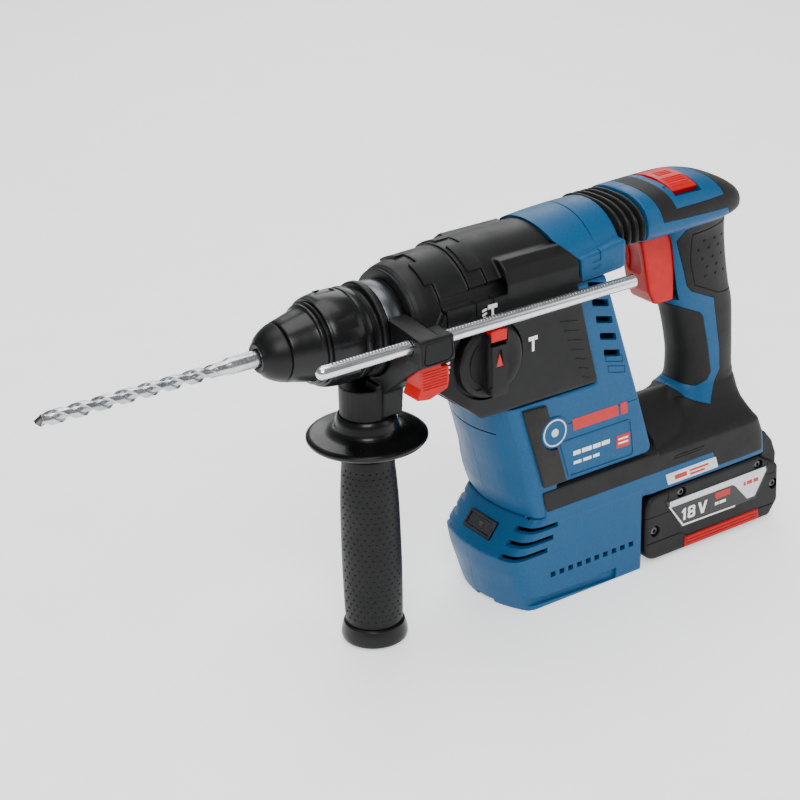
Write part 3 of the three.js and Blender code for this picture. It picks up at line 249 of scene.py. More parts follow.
@dataclass(frozen=True)
class Steel:
    """Steel that was drawn, ground or turned, with fine marks along one direction.

    The eye sees long soft highlights broken by the marks, and faint oily patches.
    """

    name: str
    colour: str
    stain: str
    roughness: float
    marks: tuple[float, float, float] = (30.0, 0.5, 0.5)  # mark size along x, y and z, in mm
    depth_mm: float = 0.006
    metallic: float = 1.0

    def build(self) -> bpy.types.Material:
        """Builds the material.

        Returns:
            The material.
        """
        material, tree, output = new_material(self.name)
        place = add(tree, "ShaderNodeTexCoord").outputs["Object"]
        stretch = add(
            tree,
            "ShaderNodeMapping",
            {"Scale": tuple(per_mm(size) for size in self.marks)},
            {"Vector": place},
        )
        lines = add(
            tree,
            "ShaderNodeTexNoise",
            {"Scale": 1.0, "Detail": 3.0},
            {"Vector": stretch.outputs["Vector"]},
        ).outputs[0]
        colour = ramp(
            tree, noise(tree, 9.0, 4.0), [(0.3, linear(self.stain)), (0.62, linear(self.colour))]
        )
        gloss = scaled_range(tree, lines, self.roughness - 0.06, self.roughness + 0.1)
        edge = add(tree, "ShaderNodeBevel", {"Radius": 0.25 * MM}, samples=4)
        bump = add(
            tree,
            "ShaderNodeBump",
            {"Strength": 0.5, "Distance": self.depth_mm * MM},
            {"Height": lines, "Normal": edge.outputs["Normal"]},
        )
        shader = add(
            tree,
            "ShaderNodeBsdfPrincipled",
            {"Metallic": self.metallic},
            {"Base Color": colour, "Roughness": gloss, "Normal": bump.outputs["Normal"]},
        )
        tree.links.new(shader.outputs[0], output.inputs[0])
        return material


@dataclass(frozen=True)
class Film:
    """Printed or metallised label film, nearly smooth, with a faint haze."""

    name: str
    colour: str
    haze: str
    roughness: float
    metallic: float = 0.0

    def build(self) -> bpy.types.Material:
        """Builds the material.

        Returns:
            The material.
        """
        material, tree, output = new_material(self.name)
        colour = ramp(
            tree, noise(tree, 6.0, 3.0), [(0.35, linear(self.haze)), (0.6, linear(self.colour))]
        )
        gloss = scaled_range(tree, noise(tree, 2.0, 2.0), self.roughness - 0.04, self.roughness + 0.05)
        shader = add(
            tree,
            "ShaderNodeBsdfPrincipled",
            {"Metallic": self.metallic},
            {"Base Color": colour, "Roughness": gloss},
        )
        tree.links.new(shader.outputs[0], output.inputs[0])
        return material


@dataclass(frozen=True)
class ClearLens:
    """Smoked polycarbonate that shows the lamp behind it."""

    name: str
    colour: str

    def build(self) -> bpy.types.Material:
        """Builds the material.

        Returns:
            The material.
        """
        material, tree, output = new_material(self.name)
        gloss = scaled_range(tree, noise(tree, 3.0, 2.0), 0.03, 0.09)
        shader = add(
            tree,
            "ShaderNodeBsdfPrincipled",
            {"Base Color": linear(self.colour), "IOR": 1.58, "Transmission Weight": 0.85},
            {"Roughness": gloss},
        )
        tree.links.new(shader.outputs[0], output.inputs[0])
        return material


class Finish(Enum):
    """Every finish on the tool."""

    BLUE_NYLON = Moulding(
        "blue_glass_filled_nylon", "08507C", "074871", 0.44, mottle_mm=1.6, grain_depth_mm=0.035
    )
    CHARCOAL_NYLON = Moulding("charcoal_glass_filled_nylon", "0C0C0D", "09090A", 0.46)
    SOFT_ELASTOMER = Moulding(
        "charcoal_thermoplastic_elastomer", "121211", "0E0E0D", 0.6, edge_mm=0.7, sheen=0.06
    )
    BOOT_RUBBER = Moulding(
        "black_moulded_rubber", "0C0C0D", "09090A", 0.4, grain_depth_mm=0.012, edge_mm=0.3
    )
    BLACK_NYLON = Moulding(
        "black_polished_nylon", "0E0E0F", "0B0B0C", 0.3, grain_depth_mm=0.012, coat=0.1
    )
    GRIP_RUBBER = Moulding("black_grip_elastomer", "101011", "0D0D0E", 0.5, edge_mm=0.3)
    WARM_ELASTOMER = Moulding(
        "warm_grey_thermoplastic_elastomer", "211F1E", "1C1A19", 0.64, edge_mm=0.5, sheen=0.06
    )
    RED_ABS = Moulding("red_moulded_abs", "C40302", "B60202", 0.36, mottle_mm=5.0, grain_depth_mm=0.015)
    RED_SILICONE = Moulding("red_rubber_stripe", "B80403", "AC0303", 0.46, grain_depth_mm=0.015)
    BRIGHT_STEEL = Steel("bright_drawn_steel", "E4E6E8", "D5D8DB", 0.2)
    BIT_STEEL = Steel("shot_blasted_drill_steel", "C9CCD0", "A3A7AC", 0.22, (2.0, 2.0, 2.0), 0.03)
    SATIN_STEEL = Steel("satin_strip_steel", "5E6063", "525457", 0.32, (0.6, 20.0, 20.0))
    CARBIDE = Steel("sintered_tungsten_carbide", "6F6C69", "5E5B59", 0.4, (1.0, 1.0, 1.0), 0.02)
    OILED_STEEL = Steel("oiled_machined_steel", "8F9296", "7C7F83", 0.3, (0.5, 8.0, 8.0))
    LAMINATION = Steel("varnished_steel_laminations", "4C4642", "3E3936", 0.5, (12.0, 12.0, 0.5))
    INNER_PLASTIC = Moulding("black_unpainted_moulding", "222223", "1D1D1E", 0.55)
    CIRCUIT_BOARD = Moulding("green_lacquered_board", "1E5A38", "184C2F", 0.3, mottle_mm=2.0)
    CELL_SLEEVE = Moulding("green_cell_sleeve", "3E7D63", "356D56", 0.35)
    SILVER_FILM = Film("silver_label_film", "D9DBE0", "CFD1D7", 0.35)
    WHITE_PRINT = Film("white_print", "F4F4F2", "EDEDEA", 0.5)
    BLACK_FILM = Film("black_label_film", "101011", "0C0C0D", 0.28)
    RED_PRINT = Film("red_print", "C00403", "B40403", 0.45)
    SMOKED_LENS = ClearLens("smoked_polycarbonate", "6B7076")
    LED_CHIP = Film("yellow_lamp_phosphor", "E3D27A", "D6C36B", 0.4)

    def material(self) -> bpy.types.Material:
        """The finish's material, made the first time it is asked for."""
        return bpy.data.materials.get(self.value.name) or self.value.build()


# ---- Mesh tools ------------------------------------------------------------------------------


def solid(name: str, points: Sequence[Sequence[float]], faces: Sequence[Sequence[int]]) -> Piece:
    """Makes a closed mesh whose faces point outwards.

    Args:
        name: the object's name.
        points: corners in millimetres.
        faces: corner numbers of each face.

    Returns:
        The object.
    """
    mesh = bpy.data.meshes.new(name)
    mesh.from_pydata([tuple(c * MM for c in p) for p in points], [], [tuple(f) for f in faces])
    edit = bmesh.new()
    edit.from_mesh(mesh)
    bmesh.ops.remove_doubles(edit, verts=edit.verts, dist=1e-7)
    bmesh.ops.recalc_face_normals(edit, faces=edit.faces)
    edit.to_mesh(mesh)
    edit.free()
    made = bpy.data.objects.new(name, mesh)
    bpy.context.scene.collection.objects.link(made)
    return made


def loft(name: str, rings: Sequence[Sequence[Vector]], closed: bool = False) -> Piece:
    """Skins rings that all have the same number of points.

    Args:
        name: the object's name.
        rings: the rings in order, in millimetres.
        closed: True if the last ring joins the first, and False to cap both ends.

    Returns:
        The object.
    """
    count = len(rings[0])
    points = [tuple(p) for ring in rings for p in ring]
    faces: list[list[int]] = []
    last = len(rings) if closed else len(rings) - 1
    for r in range(last):
        low, high = r * count, ((r + 1) % len(rings)) * count
        for i in range(count):
            j = (i + 1) % count
            faces.append([low + i, low + j, high + j, high + i])
    if not closed:
        faces.append(list(range(count)))
        faces.append([(len(rings) - 1) * count + i for i in range(count)])
    return solid(name, points, faces)


AXES = {
    "x": lambda a, b, along: Vector((along, a, b)),
    "y": lambda a, b, along: Vector((b, along, a)),
    "z": lambda a, b, along: Vector((a, b, along)),
}


def turned(
    name: str,
    axis: str,
    at: Sequence[float],
    profile: Sequence[Pair],
    segments: int = 96,
) -> Piece:
    """Revolves a profile. A profile that starts and ends off the axis makes a ring.

    Args:
        name: the object's name.
        axis: x, y or z.
        at: a point on the axis, in millimetres.
        profile: radius and distance along the axis, in order.
        segments: how many steps a turn has.

    Returns:
        The object.
    """
    place = AXES[axis]
    solid_ends = profile[0][0] == 0 and profile[-1][0] == 0
    body = profile[1:-1] if solid_ends else profile
    rings = []
    for radius, along in body:
        ring = []
        for i in range(segments):
            angle = 2 * math.pi * i / segments
            point = place(radius * math.cos(angle), radius * math.sin(angle), along)
            ring.append(point + Vector(at))
        rings.append(ring)
    return loft(name, rings, closed=not solid_ends)


def rod(name: str, axis: str, at: Sequence[float], radius: float, start: float, end: float,
        segments: int = 48) -> Piece:
    """A plain round bar from start to end along an axis through at."""
    return turned(name, axis, at, [(0, start), (radius, start), (radius, end), (0, end)], segments)


def rounded(corners: Sequence[Sequence[float]], steps: int = 8) -> list[Pair]:
    """Rounds the corners of an outline.

    Args:
        corners: points, each with an optional third value that rounds it.
        steps: points on each round corner.

    Returns:
        The outline's points.
    """
    outline: list[Pair] = []
    for i, corner in enumerate(corners):
        here = Vector(corner[:2])
        radius = corner[2] if len(corner) > 2 else 0
        if radius == 0:
            outline.append(tuple(here))
            continue
        before = (Vector(corners[i - 1][:2]) - here).normalized()
        after = (Vector(corners[(i + 1) % len(corners)][:2]) - here).normalized()
        reach = radius / math.tan(before.angle(after) / 2)
        start, end = here + before * reach, here + after * reach
        for step in range(steps + 1):
            t = step / steps
            outline.append(tuple(start * (1 - t) ** 2 + here * 2 * t * (1 - t) + end * t * t))
    return outline


def side(u: float, v: float, depth: float) -> Vector:
    """A point of an outline seen from the side, in x and z."""
    return Vector((u, depth, v))


def plan(u: float, v: float, depth: float) -> Vector:
    """A point of an outline seen from above, in x and y."""
    return Vector((u, v, depth))


def front(u: float, v: float, depth: float) -> Vector:
    """A point of an outline seen from the front, in y and z."""
    return Vector((depth, u, v))


def prism(
    name: str,
    plane: object,
    corners: Sequence[Sequence[float]],
    low: float,
    high: float,
    bevel: float = 0.0,
) -> Piece:
    """Extrudes an outline.

    Args:
        name: the object's name.
        plane: side, plan or front.
        corners: the outline, with rounding as in rounded().
        low: where it starts, in millimetres.
        high: where it ends.
        bevel: how far its rim edges are cut back.

    Returns:
        The object.
    """
    outline = rounded(corners)
    made = loft(name, [[plane(u, v, depth) for u, v in outline] for depth in (low, high)])
    if bevel > 0:
        edges = made.modifiers.new("edges", "BEVEL")
        edges.width, edges.segments, edges.limit_method = bevel * MM, 3, "ANGLE"
        edges.angle_limit = math.radians(40)
        settle(made)
    return made


def block(name: str, low: Sequence[float], high: Sequence[float], bevel: float = 0.0) -> Piece:
    """A box from its lowest to its highest corner, with its edges cut back by bevel."""
    corners = [(low[0], low[1]), (high[0], low[1]), (high[0], high[1]), (low[0], high[1])]
    return prism(name, plan, corners, low[2], high[2], bevel)


def settle(piece: Piece) -> Piece:
    """Applies a piece's modifiers to its mesh and returns the piece."""
    graph = bpy.context.evaluated_depsgraph_get()
    mesh = bpy.data.meshes.new_from_object(piece.evaluated_get(graph))
    piece.modifiers.clear()
    old = piece.data
    piece.data = mesh
    bpy.data.meshes.remove(old)
    return piece


def discard(pieces: Iterable[Piece]) -> None:
    """Removes helper solids from the file."""
    for piece in pieces:
        mesh = piece.data
        bpy.data.objects.remove(piece)
        if mesh.users == 0:
            bpy.data.meshes.remove(mesh)


def twin(piece: Piece, name: str) -> Piece:
    """A copy of a piece with its own mesh."""
    made = bpy.data.objects.new(name, piece.data.copy())
    bpy.context.scene.collection.objects.link(made)
    return made


def gathered(name: str, pieces: Sequence[Piece]) -> Piece:
    """Joins pieces into one object without merging their solids.

    Args:
        name: the new object's name.
        pieces: the pieces, which are used up.

    Returns:
        The object.
    """
    edit = bmesh.new()
    for piece in pieces:
        edit.from_mesh(piece.data)
    mesh = bpy.data.meshes.new(name)
    edit.to_mesh(mesh)
    edit.free()
    made = bpy.data.objects.new(name, mesh)
    bpy.context.scene.collection.objects.link(made)
    discard(pieces)
    return made


def carve(piece: Piece, tools: Sequence[Piece], operation: str = "DIFFERENCE", keep: bool = False) -> Piece:
    """Cuts, adds or keeps the overlap of a piece with each tool in turn.

    Args:
        piece: the piece to change.
        tools: closed solids.
        operation: DIFFERENCE, UNION or INTERSECT.
        keep: True to leave the tools in the file for another use.

    Returns:
        The piece.
    """
    for tool in tools:
        step = piece.modifiers.new("carve", "BOOLEAN")
        step.operation, step.solver, step.object = operation, "MANIFOLD", tool
    bpy.context.view_layer.update()
    settle(piece)
    if not keep:
        discard(tools)
    if len(piece.data.polygons) == 0:
        log.warning("%s came out empty", piece.name)
    return piece


def soften(piece: Piece, voxel: float, passes: int) -> Piece:
    """Merges a piece's solids into one skin and rounds its edges, as a mould leaves them.

    Args:
        piece: the piece.
        voxel: the mesh size in millimetres.
        passes: how often the skin is relaxed.

    Returns:
        The piece.
    """
    skin = piece.modifiers.new("skin", "REMESH")
    skin.mode, skin.voxel_size = "VOXEL", voxel * MM
    relax = piece.modifiers.new("relax", "SMOOTH")
    relax.factor, relax.iterations = 0.5, passes
    return settle(piece)


def sunk(piece: Piece, depth: float, name: str) -> Piece:
    """A copy of a soft skin moved inwards by depth millimetres along its normals."""
    made = twin(piece, name)
    shift = made.modifiers.new("shift", "DISPLACE")
    shift.mid_level, shift.strength = 0.0, -depth * MM
    return settle(made)


def cad_copy(node: str, name: str) -> Piece:
    """A new piece with the shape of a CAD node, its split corners merged."""
    made = twin(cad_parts[node], name)
    made.data.materials.clear()
    edit = bmesh.new()
    edit.from_mesh(made.data)
    bmesh.ops.remove_doubles(edit, verts=edit.verts, dist=1e-6)
    edit.to_mesh(made.data)
    edit.free()
    return made


class Flank:
    """Finds the surface of a piece under points seen from the side."""

    def __init__(self, piece: Piece, side_of: int = -1) -> None:
        """Builds the search tree.

        Args:
            piece: the piece that is looked at.
            side_of: -1 for the side at -y and 1 for the other.
        """
        self.side = side_of
        self.tree = BVHTree.FromPolygons(
            [v.co for v in piece.data.vertices], [p.vertices[:] for p in piece.data.polygons]
        )

    def y(self, x: float, z: float) -> float:
        """The surface's y at a place seen from the side, in millimetres, or 0 off the piece."""
        start = Vector((x * MM, self.side * 0.2, z * MM))
        hit = self.tree.ray_cast(start, Vector((0, -self.side, 0)))
        return hit[0].y / MM if hit[0] else 0.0


def beads(name: str, places: Sequence[Sequence[float]], radius: float) -> Piece:
    """Small balls at the given places, as one object."""
    edit = bmesh.new()
    for place in places:
        spot = Matrix.Translation(Vector(place) * MM)
        bmesh.ops.create_icosphere(edit, subdivisions=2, radius=radius * MM, matrix=spot)
    mesh = bpy.data.meshes.new(name)
    edit.to_mesh(mesh)
    edit.free()
    made = bpy.data.objects.new(name, mesh)
    bpy.context.scene.collection.objects.link(made)
    return made


def shrunk(corners: Sequence[Sequence[float]], gap: float) -> list[Pair]:
    """Moves an outline's edges inwards by gap, or outwards where gap is negative.

    Args:
        corners: the outline's corners in order.
        gap: the distance in millimetres.

    Returns:
        The new corners.
    """
    points = [Vector(c[:2]) for c in corners]
    area = sum(a.x * b.y - b.x * a.y for a, b in zip(points, points[1:] + points[:1]))
    turn = 1 if area > 0 else -1
    moved = []
    for i, here in enumerate(points):
        into = (here - points[i - 1]).normalized()
        out = (points[(i + 1) % len(points)] - here).normalized()
        normal_in = Vector((-into.y, into.x)) * turn
        normal_out = Vector((-out.y, out.x)) * turn
        middle = (normal_in + normal_out).normalized()
        moved.append(tuple(here + middle * gap / max(0.35, middle.dot(normal_in))))
    return moved


def finished(
    piece: Piece,
    finish: Finish,
    body: str,
    replaces: Sequence[str] = (),
    crease: float = 35.0,
) -> Piece:
    """Dresses a piece and hangs it on its body.

    Args:
        piece: the piece, final and in place.
        finish: what it is made of.
        body: the CAD body that carries it.
        replaces: CAD nodes it stands for.
        crease: edges sharper than this many degrees stay sharp.

    Returns:
        The piece.
    """
    piece.data.materials.clear()
    piece.data.materials.append(finish.material())
    piece.data.shade_smooth()
    piece.data.set_sharp_from_angle(angle=math.radians(crease))
    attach(piece, body)
    if replaces:
        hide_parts(*replaces)
    log.info("%s: %d faces, %s", piece.name, len(piece.data.polygons), finish.value.name)
    return piece


def oval_ring(angle_count: int, half_u: float, up: float, down: float, power: float) -> list[Pair]:
    """Points of a rounded rectangle whose upper and lower halves may differ in height."""
    ring = []
    for i in range(angle_count):
        angle = 2 * math.pi * (i + 0.5) / angle_count
        c, s = math.cos(angle), math.sin(angle)
        u = half_u * math.copysign(abs(c) ** (2 / power), c)
        v = (up if s > 0 else down) * math.copysign(abs(s) ** (2 / power), s)
        ring.append((u, v))
    return ring


def level_ring(z: float, x0: float, x1: float, half: float, power: float, count: int = 72) -> list[Vector]:
    """A level ring from x0 to x1, half wide to each side."""
    centre, reach = (x0 + x1) / 2, (x1 - x0) / 2
    return [Vector((centre + u, v, z)) for u, v in oval_ring(count, reach, half, half, power)]


def upright_ring(
    x: float, half: float, top: float, bottom: float, middle: float, power: float, count: int = 96
) -> list[Vector]:
    """An upright ring across the tool, from bottom to top."""
    points = oval_ring(count, half, top - middle, middle - bottom, power)
    return [Vector((x, u, middle + v)) for u, v in points]


def blended(stations: Sequence[Sequence[float]], steps: int = 6) -> list[tuple[float, ...]]:
    """Smooth stations between the given ones, on curves through them.

    Args:
        stations: rows of sizes.
        steps: new rows per interval.

    Returns:
        The rows.
    """
    rows = np.array(stations, float)
    first, last = 2 * rows[0] - rows[1], 2 * rows[-1] - rows[-2]
    grid = np.vstack([first, rows, last])
    result = []
    for i in range(1, len(grid) - 2):
        p0, p1, p2, p3 = grid[i - 1 : i + 3]
        for step in range(steps):
            t = step / steps
            row = 0.5 * (
                2 * p1 + (p2 - p0) * t + (2 * p0 - 5 * p1 + 4 * p2 - p3) * t**2
                + (3 * p1 - p0 - 3 * p2 + p3) * t**3
            )
            result.append(tuple(row))
    result.append(tuple(rows[-1]))
    return result


# ---- Sizes shared by the sub-assemblies ------------------------------------------------------


@dataclass(frozen=True)
class Layout:
    """Driving sizes of the tool in millimetres, as in the frame."""

    spindle_z: float = 199.5
    sill_z: float = 78.8
    ledge_z: float = 61.0
    strip_z: float = 65.4
    base_half: float = 36.5
    base_rear: float = 50.0
    unit_half: float = 38.0
    motor_half: float = 36.0
    barrel_r: float = 38.5
    lean: float = math.radians(15.3)

    @property
    def floor_z(self) -> float:
        """Underside of the gear housing."""
        return self.spindle_z - 59.7

    @property
    def head_top(self) -> float:
        """Top of the handle head."""
        return self.spindle_z + 43.4

    @property
    def head_bottom(self) -> float:
        """Underside of the handle head."""
        return self.spindle_z + 12.5

    @property
    def spindle(self) -> tuple[float, float, float]:
        """A point on the spindle axis."""
        return (0.0, 0.0, self.spindle_z)


L = Layout()


def arc_block(name: str, start: float, end: float, inner: float, outer: float, first: float,
              last: float, at: Sequence[float], steps: int = 24) -> Piece:
    """A curved slab round an axis along x.

    Args:
        name: the object's name.
        start: where it starts along x, in millimetres.
        end: where it ends.
        inner: its inner radius.
        outer: its outer radius.
        first: its first angle in degrees, from the -y side over the top.
        last: its last angle.
        at: a point on the axis.
        steps: how many steps the arc has.

    Returns:
        The object.
    """
    sweep = [math.radians(first + (last - first) * i / steps) for i in range(steps + 1)]
    outer_arc = [(-outer * math.cos(a), outer * math.sin(a)) for a in sweep]
    inner_arc = [(-inner * math.cos(a), inner * math.sin(a)) for a in reversed(sweep)]
    outline = [(u + at[1], v + at[2]) for u, v in outer_arc + inner_arc]
    return loft(name, [[front(u, v, depth) for u, v in outline] for depth in (start, end)])


# ---- Handle frame ----------------------------------------------------------------------------


@dataclass
class HandleFrame:
    """Motor base, foot, grip and head: two blue shells with soft mouldings over them."""

    foot_under: float = 50.5
    foot_front: float = 44.0
    grip_half: float = 17.0
    head_half: float = 30.0
    seam_y: float = 1.8
    skin: float = 2.0
    rail_half: float = 27.0
    rail_top: float = 58.0
    slide_r: float = 51.0

    def __post_init__(self) -> None:
        """Works out the outlines that the soft mouldings cover."""
        z, hb, ht = L.spindle_z, L.head_bottom, L.head_top
        self.foot_region = [
            (-33, L.sill_z + 1), (-27.8, L.strip_z), (106, L.strip_z), (110, 54.5), (148.9, 54.5),
            (148.9, 66.4), (170, 66.4), (170, 125), (126.6, 125), (127.6, 110), (114.8, 91), (107, 94),
            (100, 97), (96, 103), (40, 103),
        ]
        self.rear_region = [
            (170, 125), (170, hb - 2), (122, hb + 4.8), (119, hb + 5), (96, hb + 2), (92.4, hb, 3),
            (89.6, z + 5, 4), (98.4, z - 26, 3), (101.4, z - 30), (120, z - 38.5), (126.6, 125),
        ]
        self.front_region = [
            (60, z - 36), (78, z - 35), (94.3, z - 40), (109.5, z - 46.5), (112, z - 50),
            (116.4, 130), (119.9, 110), (117, 105.5), (109, 103), (102, 104.5), (96, 108), (60, 108),
        ]
        self.head_region = [
            (60.5, ht + 9), (65.5, z + 26.5), (119, z + 24), (122, z + 18.2), (150, z + 14.5),
            (150, ht + 9), (112, ht + 9), (117, z + 32), (76.5, z + 32), (72, ht + 9),
        ]

    def base_ring(self, z: float, nose: float, corner: float, inset: float = 0.0) -> list[Vector]:
        """A level ring of the motor base.

        Args:
            z: its height.
            nose: its front at the mid-plane.
            corner: its front at the corners.
            inset: how far the ring lies inside the skin.

        Returns:
            The ring.
        """
        half = L.base_half - inset
        tip, edge, rear = nose + inset, corner + inset, L.base_rear - inset
        flat = half - 6
        arc = []
        for i in range(13):
            share = 1 - i / 6
            arc.append((tip + (edge - tip) * share * share, share * flat))
        corners = [
            (rear, half - 3), (rear - 3, half), (0, half), (edge + 12, half), (edge + 7, half - 0.3),
            (edge + 2.6, half - 2.0), *arc, (edge + 2.6, 2.0 - half), (edge + 7, 0.3 - half),
            (edge + 12, -half), (0, -half), (rear - 3, -half), (rear, 3 - half),
        ]
        return [Vector((x, y, z)) for x, y in corners]

    def base(self, inset: float = 0.0, lift: float = 0.0) -> Piece:
        """The motor base, or its well where inset is the wall."""
        stations = [(lift, -52 - lift * 0.3, -43.5 - lift * 0.3), (10, -55, -47), (27, -58.6, -52.5),
                    (38, -60.4, -54.5), (L.ledge_z, -42, -36.5)]
        if inset:
            stations.append((L.ledge_z + 1, -42, -36.5))
        return loft("base", [self.base_ring(*row, inset) for row in stations])

    def collar(self) -> Piece:
        """The band round the motor's foot, its front edge leaning with the seam."""
        def seam(z: float) -> float:
            return -31.3 + (L.sill_z - z) * 0.162

        low = L.ledge_z - 5
        corners = [(seam(L.sill_z), L.sill_z), (seam(low), low), (60, low), (60, L.sill_z)]
        return prism("collar", side, corners, -L.base_half - 0.3, L.base_half + 0.3)

    def foot(self) -> Piece:
        """The wide foot that holds the battery and sweeps up into the grip."""
        first, half = self.foot_front, L.base_half
        rings = [
            level_ring(self.foot_under, first, 158, half, 10),
            level_ring(54, first, 157, half + 0.2, 10),
            level_ring(L.strip_z, first, 154, half + 0.3, 10),
            level_ring(L.sill_z - 2.5, first, 149.6, half + 0.3, 10),
            level_ring(L.sill_z, 57, 148.3, half - 1.6, 8),
            level_ring(L.sill_z + 4, 78, 147.4, half - 6, 6),
            level_ring(L.sill_z + 9, 88, 146.5, 26, 4.4),
            level_ring(L.sill_z + 14, 94, 146.8, 22.2, 3.6),
            level_ring(98, 97, 147.2, 19.6, 3.1),
            level_ring(101, 98.5, 147.4, 18.4, 2.8),
        ]
        return loft("foot", rings)

    def crown(self) -> Piece:
        """The roof-shaped top of the foot in front of the grip."""
        rings = []
        stations = ((62, 33, 100), (70, 33, 101), (84, 32, 101.4), (100, 29, 101.6), (112, 24, 101.6))
        for x, half, top in stations:
            rings.append(upright_ring(x, half, top, L.sill_z - 8, L.sill_z - 1, 1.32))
        return loft("crown", rings)

    def sweep(self) -> Piece:
        """The hollow curve between the foot's top and the front of the grip."""
        rings = []
        for i in range(11):
            t = i / 10
            height = 98 + 8 * t
            front_x = 88 + 13 * (1 - (1 - t) ** 2.6)
            rings.append(level_ring(height, front_x, 147.2, 18.2 - 1.2 * t, 2.6))
        return loft("sweep", rings)

    def grip(self) -> Piece:
        """The rear grip."""
        z = L.spindle_z
        stations = blended([
            (96, 99.5, 148, self.grip_half + 1), (108, 101, 147, self.grip_half),
            (125, 101, 146.2, self.grip_half), (z - 48, 95, 145, self.grip_half),
            (z - 34, 88.5, 141.5, self.grip_half + 0.5), (z - 15, 85.5, 137.5, self.grip_half + 1.5),
            (z + 4, 83.5, 134.5, self.grip_half + 3),
            (L.head_bottom + 2, 80, 133, self.grip_half + 6),
        ])
        return loft("grip", [level_ring(h, a, b, half, 2.4) for h, a, b, half in stations])

    def head(self) -> Piece:
        """The head that the grip hangs from."""
        half, top, bottom, middle = self.head_half, L.head_top, L.head_bottom, L.spindle_z + 23
        stations = blended([
            (53.5, half, top - 0.8, bottom), (80, half, top, bottom), (104, half - 1, top, bottom),
            (122, half - 3, top - 4, bottom + 1), (134, half - 8, top - 10, bottom + 3),
            (140, half - 17, top - 16, bottom + 6),
        ], 5)
        return loft("head", [upright_ring(x, h, t, b, middle, 2.6) for x, h, t, b in stations])

    def region(self, corners: Sequence[Pair], grow: float = 0.0) -> Piece:
        """A soft moulding's outline as a slab through the whole frame."""
        return prism("region", side, shrunk(corners, -grow) if grow else corners, -60, 60)

    def slots(self) -> list[Piece]:
        """Cooling slots that wrap round the front corners, square holes and the belt rail groove."""
        tools = []
        for flank in (-1, 1):
            low, high = sorted((flank * 24.5, flank * 40))
            for x, z in ((-19.5, 54.8), (-23, 47), (-27.5, 39.4)):
                tools.append(block("slot", (x - 32, low, z - 2), (x, high, z + 1.4)))
            low, high = sorted((flank * 33.4, flank * 40))
            for i in range(10):
                x = -25 + 6.9 * i
                tools.append(block("hole", (x, low, 19.2), (x + 3.8, high, 22.6)))
            low, high = sorted((flank * 34.6, flank * 40))
            groove = [(-44.5, 9.8, 1.5), (-41.4, 3.8, 1.5), (26.8, 1.1), (27.4, 8.1), (14, 8.4),
                      (12.5, 6.6), (-28, 8.2)]
            tools.append(prism("groove", side, groove, low, high))
        tools.append(block("notch", (-56, -13, -1), (-46, 2, 2.6)))
        tools.append(block("notch", (-56, 9, -1), (-50, 16, 1.8)))
        return tools

    def light_block(self, half_height: float, half_width: float, start: float, end: float) -> Piece:
        """A slab square to the sloping ledge, round the work light's axis."""
        tilt = math.atan2(18.4, L.ledge_z - 38)
        made = block("light", (-end, -half_width, -half_height), (-start, half_width, half_height))
        turn = Matrix.Translation(Vector((-51.2, 0, 49.8)) * MM) @ Matrix.Rotation(tilt, 4, "Y")
        made.data.transform(turn)
        return made

    def recesses(self) -> list[Piece]:
        """Room for the trigger, the battery rails, the direction slide and the motor."""
        z = L.spindle_z
        slide_z = L.head_top + 0.9 - self.slide_r
        return [
            block("pocket", (50, -12.5, z - 35.7), (100.5, 12.5, z + 11.5)),
            block("rails", (52, -self.rail_half - 0.5, 45.5), (170, self.rail_half + 0.5, 58.5)),
            block("rear_step", (150.9, -60, 45), (180, 60, 66)),
            arc_block("slide", 79.5, 100.5, 46.5, 55, 62, 112, (0, 0, slide_z)),
            block("well", (-37, -30.6, L.ledge_z - 4), (47, 30.6, L.sill_z + 3)),
            self.base(3.0, 3.0),
            self.light_block(6.15, 13.35, -9, 9),
        ]

    def outline_groove(self, whole: Piece, corners: Sequence[Pair], width: float, depth: float) -> Piece:
        """A shallow groove along an outline on a curved skin.

        Args:
            whole: the skin.
            corners: the outline seen from the side.
            width: the groove's width in millimetres.
            depth: how deep it is cut.

        Returns:
            The solid to cut away.
        """
        band = prism("band", side, corners, -60, 60)
        carve(band, [prism("hole", side, shrunk(corners, width), -61, 61)])
        core = sunk(whole, depth, "core")
        return carve(band, [core])

    def dimples(self, whole: Piece, places: Sequence[Pair], radius: float) -> Piece:
        """Small balls half sunk in both flanks of a skin at places seen from the side."""
        spots = []
        for flank in (-1, 1):
            skin = Flank(whole, flank)
            spots += [(x, skin.y(x, z) + flank * 0.45, z) for x, z in places if skin.y(x, z)]
        return beads("dimples", spots, radius)

    def build(self) -> None:
        """Builds the shells, the soft mouldings and what is fixed to them."""
        whole = gathered("frame_form", [
            self.base(), self.collar(), self.foot(), self.crown(), self.sweep(), self.grip(), self.head()])
        soften(whole, 0.85, 5)
        recesses = self.recesses()
        pads = {
            "foot": self.foot_region, "rear": self.rear_region,
            "front": self.front_region, "head": self.head_region,
        }
        shell = carve(twin(whole, "shell"), [self.region(c, 0.22) for c in pads.values()])
        carve(shell, recesses, keep=True)
        carve(shell, self.slots())
        self.trim_head(shell)
        left = twin(shell, "handle_shell_left")
        carve(left, [block("half", (-90, -60, -10), (180, self.seam_y - 0.2, 270))], "INTERSECT")
        right = twin(shell, "handle_shell_right")
        carve(right, [block("half", (-90, self.seam_y + 0.05, -10), (180, 60, 270))], "INTERSECT")
        discard([shell])
        blue = Finish.BLUE_NYLON
        finished(left, blue, "handle_frame", ["frame_shell_left"])
        finished(right, blue, "handle_frame", ["frame_shell_right"])
        self.build_pads(whole, pads, recesses)
        discard([whole, *recesses])
        self.build_fittings()

